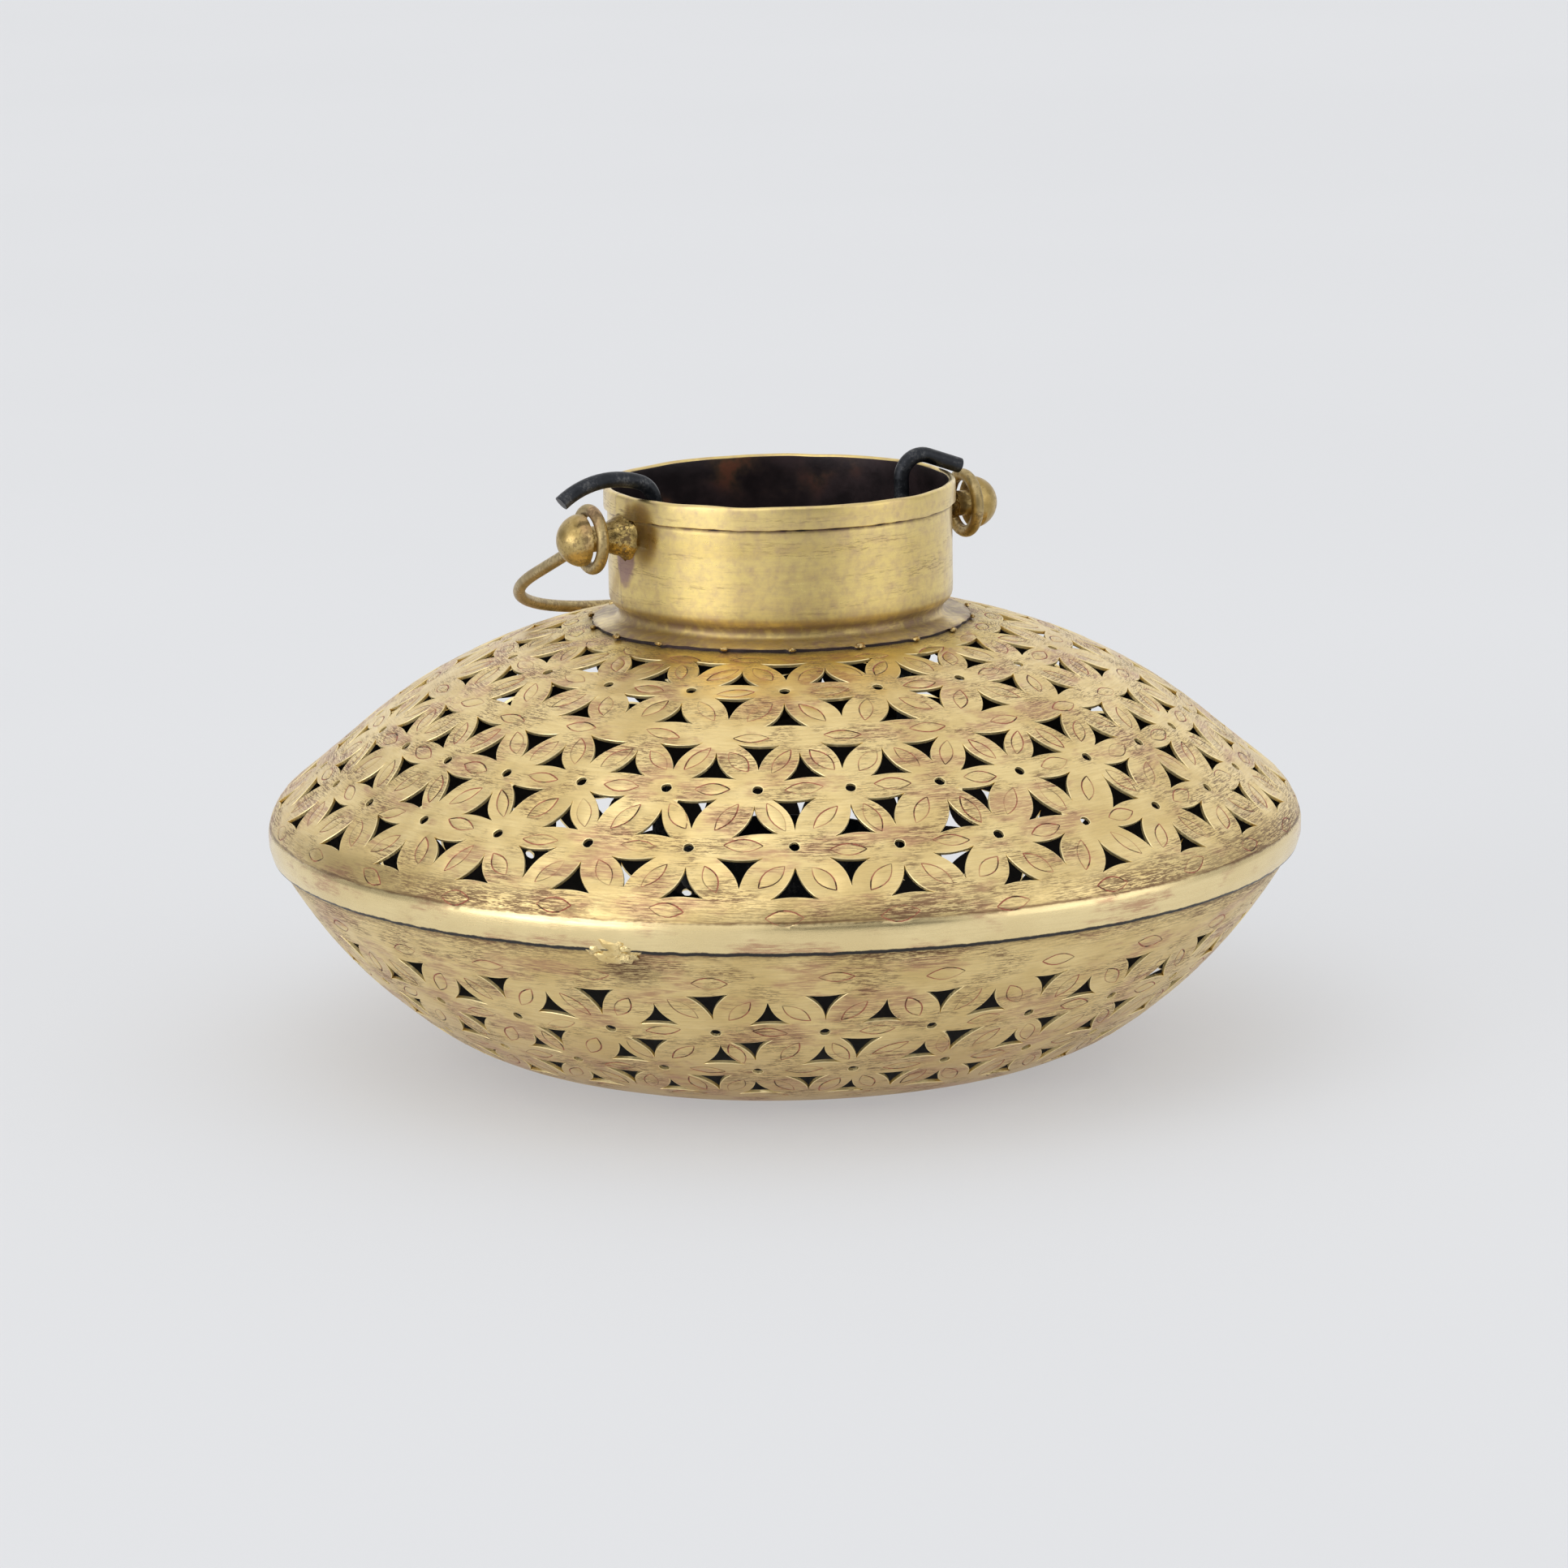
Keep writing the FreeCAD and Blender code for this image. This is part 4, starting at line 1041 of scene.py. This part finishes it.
def lathe(name, profile, count, shape, sides):
    """A revolved skin; shape(radius, height, bearing in degrees, profile number) moves its points."""
    points, faces, face_sides = [], [], []
    for k in range(count):
        bearing = 360 * k / count - 180
        for number, (radius, height) in enumerate(profile):
            radius, height = shape(radius, height, bearing, number)
            points.append(axis_point(math.radians(bearing), radius, height))
    size = len(profile)
    for k in range(count):
        after = (k + 1) % count
        for number in range(size):
            below = (number + 1) % size
            faces.append((k * size + number, after * size + number, after * size + below, k * size + below))
            face_sides.append(sides[number])
    return make_mesh(name, points, faces, face_sides)


def collar_profile():
    """The neck's section from the flange's lip up the outside, over the hem and down the inside."""
    roll = (COLLAR_RADIUS - ROLL_RADIUS, ROLL_HEIGHT)
    groove = polar(roll, ROLL_RADIUS + GROOVE_RADIUS, -ROLL_TURN)
    slope = math.tan(math.radians(GROOVE_TURN - 270))
    start = polar(groove, GROOVE_RADIUS, GROOVE_TURN)
    under = polar(groove, GROOVE_RADIUS + GAUGE, GROOVE_TURN)
    hem_foot = COLLAR_TOP - HEM_HEIGHT
    fold = (HEM_RADIUS - COLLAR_RADIUS + GAUGE) / 2
    fold_centre = (HEM_RADIUS - fold, COLLAR_TOP - fold)

    def arc(centre, radius, start, end, steps, first=1):
        return [polar(centre, radius, start + (end - start) * k / steps) for k in range(first, steps + 1)]

    outside = []
    for share in (1.0, 0.97, 0.8, 0.5, 0.2):
        radius = start[0] + (FLANGE_RADIUS - start[0]) * share
        outside.append((radius, start[1] + slope * (radius - start[0])))
    outside += arc(groove, GROOVE_RADIUS, GROOVE_TURN, 180 - ROLL_TURN, 8, 0)
    outside += arc(roll, ROLL_RADIUS, -ROLL_TURN, 0, 8)
    steps = 12
    for k in range(1, steps):
        outside.append((COLLAR_RADIUS, ROLL_HEIGHT + (hem_foot - ROLL_HEIGHT) * k / steps))
    for step_in, drop in ((0.0, 1.1), (0.1, 0.5), (0.2, 0.0)):
        outside.append((COLLAR_RADIUS - step_in, hem_foot - drop))
    shadow = hem_foot + 0.35
    outside += [(COLLAR_RADIUS - 0.25, shadow), (COLLAR_RADIUS + 0.25, shadow)]
    outside += [(HEM_RADIUS - 0.12, hem_foot), (HEM_RADIUS, hem_foot + 0.15)]
    for share in (0.35, 0.7, 1.0):
        outside.append((HEM_RADIUS, hem_foot + 0.15 + (fold_centre[1] - hem_foot - 0.15) * share))
    outside += arc(fold_centre, fold, 0, 180, 8)
    inside = []
    for k in range(1, 9):
        inside.append((COLLAR_RADIUS - GAUGE, fold_centre[1] + (ROLL_HEIGHT - fold_centre[1]) * k / 8))
    inside += arc(roll, ROLL_RADIUS - GAUGE, 0, -ROLL_TURN, 4)
    inside += arc(groove, GROOVE_RADIUS + GAUGE, 180 - ROLL_TURN, GROOVE_TURN, 8, 0)
    for radius in (FLANGE_RADIUS * 0.985, FLANGE_RADIUS):
        inside.append((radius, under[1] + slope * (radius - under[0])))
    return outside, inside


def neck_collar(brass, inside_dark):
    outside, inside = collar_profile()
    profile = outside + inside
    hem_foot = COLLAR_TOP - HEM_HEIGHT
    sides = [0] * (len(outside) - 2) + [1] * (len(inside) + 2)

    def shape(radius, height, bearing, number):
        turn = math.radians(bearing)
        around = Vector((math.sin(turn) * 3, math.cos(turn) * 3, 0))
        wall = height > ROLL_HEIGHT
        if wall:
            radius += WALL_STRAY * noise.noise(around * 0.5 + Vector((0, 0, height * 0.02)))
            height += RIM_STRAY * noise.noise(around * 1.3) * min(1.0, (height - ROLL_HEIGHT) / 20)
        if abs(height - hem_foot) < 1.0 and radius > COLLAR_RADIUS - 0.5:
            height += HEM_STRAY * noise.noise(around * 4 + Vector((5, 0, 0)))
        lap = turn_from(bearing, LAP_BEARING)
        if wall and number < len(outside) - 4:
            radius += LAP_STEP * max(0.0, 1 - max(0.0, lap) / LAP_SPREAD) * (lap >= 0)
        if radius > FLANGE_RADIUS - TAB_REACH and not wall:
            step = 360 / TAB_COUNT
            tab = (bearing - TAB_BEARING + step / 2) % step - step / 2
            nick = bump_up(tab, 0.0, TAB_HALF_TURN)
            share = (radius - FLANGE_RADIUS + TAB_REACH) / TAB_REACH
            radius += share * (0.5 * noise.noise(around * 5) + 0.7 * nick - 0.2)
            height += share * (0.2 * noise.noise(around * 3 + Vector((0, 7, 0))) - 0.2 * nick - 0.35)
        return radius, height

    piece = lathe("neck_collar_rolled", profile, 540, shape, sides)
    foot = ROLL_HEIGHT - ROLL_RADIUS

    # Dirt and painted shade: painted shade under the hem, under the roll and at the flange's edge, streaky
    # dirt and shade over the flange, and a dark line along the lapped joint.
    def grime_and_shade(p):
        radius = math.hypot(p.x, p.y)
        dark = min(1.0, 1.6 * bump_up(p.z, hem_foot + 0.1, 1.1)) if radius < HEM_RADIUS - 0.1 else 0.0
        dark = max(dark, 0.75 * bump_up(p.z, foot - 0.2, 3.0) * (radius < COLLAR_RADIUS + 1.0))
        dark = max(dark, 0.30 * bump_up(p.z, ROLL_HEIGHT - 1.0, 4.0))
        if p.z < foot + 1.0:
            streaks = min(0.72, 0.55 + 0.6 * noise.noise(p * 0.08))
            dark = max(dark, streaks, 0.95 * bump_up(radius, FLANGE_RADIUS, 0.9))
        lap = turn_from(bearing_of(p), LAP_BEARING)
        return max(dark, 0.9 * bump_up(lap, -0.2, 0.8) * (p.z > foot))

    def burn(p):
        dark = 0.0
        for bearing in (90, -90):
            across = abs(turn_from(bearing_of(p), bearing)) * math.radians(COLLAR_RADIUS)
            down = STUD_HEIGHT - p.z
            fall = 1 - math.hypot(across * 1.2, (down - 2) * (0.6 if down > 2 else 1.2)) / 8.0
            dark = max(dark, fall)
        return min(1.0, max(0.0, dark) * 1.7)

    paint(piece, "grime_and_shade", grime_and_shade)
    paint(piece, "burn", burn)
    # Painted sheen: full over the hem, fading over 22 mm down the wall.
    paint(piece, "painted_sheen", lambda p: 1.0 if p.z > hem_foot else bump_up(p.z, COLLAR_TOP, 22.0))
    return give(piece, "lantern", "brass_collar", ["neck_collar"], brass, inside_dark)


def lump(centre, axes, turn_deg, rough, seed, detail=3):
    """Points and faces of one uneven blob of metal, in millimetres."""
    ball = bmesh.new()
    bmesh.ops.create_icosphere(ball, subdivisions=detail, radius=1.0)
    spin = Matrix.Rotation(math.radians(turn_deg), 3, "Z")
    points = []
    for vertex in ball.verts:
        place = vertex.co.copy()
        swell = 1 + rough * noise.noise(place * 1.7 + Vector((seed * 3.1, 0, 0)))
        swell += rough * 0.5 * noise.noise(place * 4.3 + Vector((0, seed * 2.3, 0)))
        place = Vector((place.x * axes[0], place.y * axes[1], place.z * axes[2])) * swell
        points.append(centre + spin @ place)
    faces = [tuple(vertex.index for vertex in face.verts) for face in ball.faces]
    ball.free()
    return points, faces


def joined(name, lumps):
    points, faces = [], []
    for more_points, more_faces in lumps:
        faces += [tuple(i + len(points) for i in face) for face in more_faces]
        points += more_points
    return make_mesh(name, points, faces)


def seam_tacks(metal):
    """Each tack is a few runs of solder that froze across the seam."""
    lumps = []
    for number, bearing in enumerate(TACK_BEARINGS):
        for part, (along, drop, size) in enumerate((
                (0.0, -1.2, 1.2), (-4.2, -0.4, 0.9), (4.2, -0.8, 0.95),
                (1.2, 1.9, 1.0), (-2.2, 1.6, 0.85), (4.0, 1.8, 0.6))):
            turn = bearing + math.degrees(along / LIP_RADIUS)
            reach = LIP_RADIUS + 0.1 - max(0.0, drop) * 0.45
            place = axis_point(math.radians(turn), reach, SKIRT_EDGE + 0.6 - drop)
            axes = (3.4 * size, 1.5 * size, 2.3 * size)
            lumps.append(lump(place, axes, turn, 0.5, number * 6 + part))
    piece = joined("seam_tack_lumps", lumps)
    return give(piece, "lantern", "braze", ["seam_tacks"], metal)


def neck_solder(metal):
    """Small pips of solder that hold the tabs of the flange down."""
    lumps = []
    low, high = mm_box("neck_solder")
    height = (low.z + high.z) / 2
    for k in range(TAB_COUNT):
        turn = TAB_BEARING + 360 * k / TAB_COUNT + dice.gauss(0, 0.6)
        reach = FLANGE_RADIUS + 0.55 + dice.gauss(0, 0.15)
        place = axis_point(math.radians(turn), reach, height - 0.1 + dice.gauss(0, 0.08))
        size = dice.uniform(0.75, 1.15)
        lumps.append(lump(place, (1.25 * size, 0.8 * size, 0.62 * size), turn, 0.4, k, 2))
    piece = joined("neck_solder_pips", lumps)
    return give(piece, "lantern", "braze", ["neck_solder"], metal)


def stud_braze(side, metal):
    """Braze heaped round the root of a stud, thinning out along it."""
    points, faces = [], []
    around, rings = 56, 16
    reach = braze_high.x - COLLAR_RADIUS
    for ring in range(rings + 1):
        share = ring / rings
        for k in range(around):
            turn = TURN * k / around
            seed = Vector((math.cos(turn) * 1.6, math.sin(turn) * 1.6, share * 2.4 + side * 4))
            wobble = 1 + 0.34 * noise.noise(seed) + 0.16 * noise.noise(seed * 3)
            radius = SHANK_RADIUS - 0.2 + (6.3 - SHANK_RADIUS) * (1 - share) ** 1.8 * wobble + 0.45 * wobble
            y, z = radius * math.cos(turn), radius * math.sin(turn)
            out = math.sqrt(max(0.0, COLLAR_RADIUS ** 2 - y * y)) - 0.5 + (reach + 3.5) * share
            points.append(Vector((side * out, y, STUD_HEIGHT + z)))
    for ring in range(rings):
        for k in range(around):
            a, b = ring * around + k, ring * around + (k + 1) % around
            faces.append((a, b, b + around, a + around))
    faces.append(tuple(reversed(range(around))))
    faces.append(tuple(rings * around + k for k in range(around)))
    name = "stud_braze_right" if side > 0 else "stud_braze_left"
    piece = make_mesh(name + "_heap", points, faces, sharp_deg=60)
    return give(piece, "lantern", "braze", [name], metal)


def finish_node(name, metal):
    """A CAD piece keeps its shape and gets its material."""
    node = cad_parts[name]
    node.data.materials.clear()
    node.data.materials.append(metal)


# Stage

def floor():
    """A wide pale floor that runs out of the picture."""
    mesh = bpy.data.meshes.new("floor")
    reach = 9.0
    corners = [(x * reach, y * reach, 0) for x, y in ((-1, -1), (1, -1), (1, 1), (-1, 1))]
    mesh.from_pydata(corners, [], [(0, 1, 2, 3)])
    piece = linked("floor", mesh)
    piece.location.z = -0.0002
    weave = Weave("pale_floor")
    grain = weave.speckle(2.0, 3.0, 0.5)
    weave.color = weave.blend(weave.fade(grain, 0.3, 0.7), (0.395, 0.40, 0.405), (0.405, 0.41, 0.415))
    mesh.materials.append(weave.finish(0.85, 0.0, specular=0.2, glow=0.37))


def direction(bearing_deg, rise_deg):
    """A unit vector towards a bearing measured round from the camera, and a rise above the horizon."""
    rise = math.radians(rise_deg)
    return axis_point(math.radians(CAMERA_BEARING + bearing_deg), math.cos(rise), math.sin(rise))


def soft_light(name, bearing_deg, rise_deg, distance, size, energy):
    """A softbox aimed at the lantern."""
    light = bpy.data.lights.new(name, "AREA")
    light.shape = "RECTANGLE"
    light.size, light.size_y = size
    light.energy = energy
    lamp = linked(name, light)
    lamp.location = direction(bearing_deg, rise_deg) * distance
    aim = Vector((0, 0, 0.07)) - lamp.location
    lamp.rotation_euler = aim.to_track_quat("-Z", "Y").to_euler()


CAMERA_BEARING = -27.0
CAMERA_RISE = 11.7
CAMERA_DISTANCE = 1.57
CAMERA_LENS = 145.6
CAMERA_ROLL = -0.9
CAMERA_TARGET = Vector((0.0, 0.0, 0.064))


def camera():
    back = direction(0, CAMERA_RISE)
    data = bpy.data.cameras.new("camera")
    data.lens = CAMERA_LENS
    data.sensor_width = 36.0
    data.clip_end = 50.0
    eye = linked("camera", data)
    eye.location = CAMERA_TARGET + back * CAMERA_DISTANCE
    aim = back.to_track_quat("Z", "Y").to_matrix() @ Matrix.Rotation(math.radians(CAMERA_ROLL), 3, "Z")
    eye.rotation_euler = aim.to_euler()
    bpy.context.scene.camera = eye


# Soft patches of the studio: bearing from the camera, rise, half width in degrees, fade in degrees, change.
STUDIO = (
    (-54, 6, 8, 20, 2.0),
    (72, 14, 8, 22, 0.60),
    (18, 8, 8, 20, -0.70),
    (-112, 10, 12, 26, -0.45),
    (110, 6, 10, 24, -0.30),
    (-20, 66, 14, 40, 0.15),
    (180, 30, 20, 50, 0.10),
)
STUDIO_LEVEL = 0.83


def lighting():
    """An evenly lit white room with a few brighter and darker patches, and one softbox for the shadow."""
    weave = Weave("studio", "worlds")
    way = weave.node("TexCoord").outputs["Generated"]
    level = STUDIO_LEVEL
    for bearing, rise, width, fade, change in STUDIO:
        dot = weave.node("VectorMath")
        dot.operation = "DOT_PRODUCT"
        weave.feed(dot.inputs[0], way)
        weave.feed(dot.inputs[1], direction(bearing, rise))
        edge, core = (math.cos(math.radians(turn)) for turn in (width + fade, width))
        level = weave.sums("ADD", weave.fade(dot.outputs["Value"], edge, core, 0.0, change), level)
    back = weave.node("Background")
    weave.feed(back.inputs["Strength"], level)
    weave.feed(back.inputs["Color"], (0.985, 0.99, 1.0))
    weave.feed(weave.node("OutputWorld").inputs[0], back.outputs[0])
    bpy.context.scene.world = weave.block
    soft_light("key", -35, 58, 1.9, (1.3, 1.3), 3.2)
    bpy.context.scene.view_settings.view_transform = "Standard"


floor()
camera()
lighting()

dome_line = Meridian(dome_runs())
bead_top = dome_line.at(dome_line.length - BEAD_LENGTH)[1]
shell_brass = spun_brass(bead_top)
upper_shell(shell_brass, soot("inside_upper"), bead_top)
lower_shell(shell_brass, soot("inside_lower"))
neck_collar(brushed_collar(), collar_inside())
braze = dull_brass("frozen_braze", (0.58, 0.42, 0.15), (0.15, 0.095, 0.03), 0.75, 0.22, 0.35)
solder = dull_brass("solder_lumps", GOLD, OLIVE, 0.4, 0.30, 0.45)
seam_tacks(solder)
neck_solder(dull_brass("solder_pips", OLIVE, (0.34, 0.22, 0.08), 0.7, 0.36, 0.3))
stud_braze(1, braze)
stud_braze(-1, braze)
stud_brass = dull_brass("stud_brass", (0.62, 0.46, 0.19), (0.40, 0.28, 0.10), 0.45, 0.30, 0.18)
wire_brass = dull_brass("bail_brass", (0.56, 0.43, 0.21), (0.36, 0.27, 0.12), 0.45, 0.40, 0.18)
for stud_node in ("bail_stud_left", "bail_stud_right"):
    finish_node(stud_node, stud_brass)
finish_node("bail_handle", wire_brass)
iron = black_iron()
for iron_node in ("hanger_wire", "candle_cup", "cup_welds"):
    finish_node(iron_node, iron)
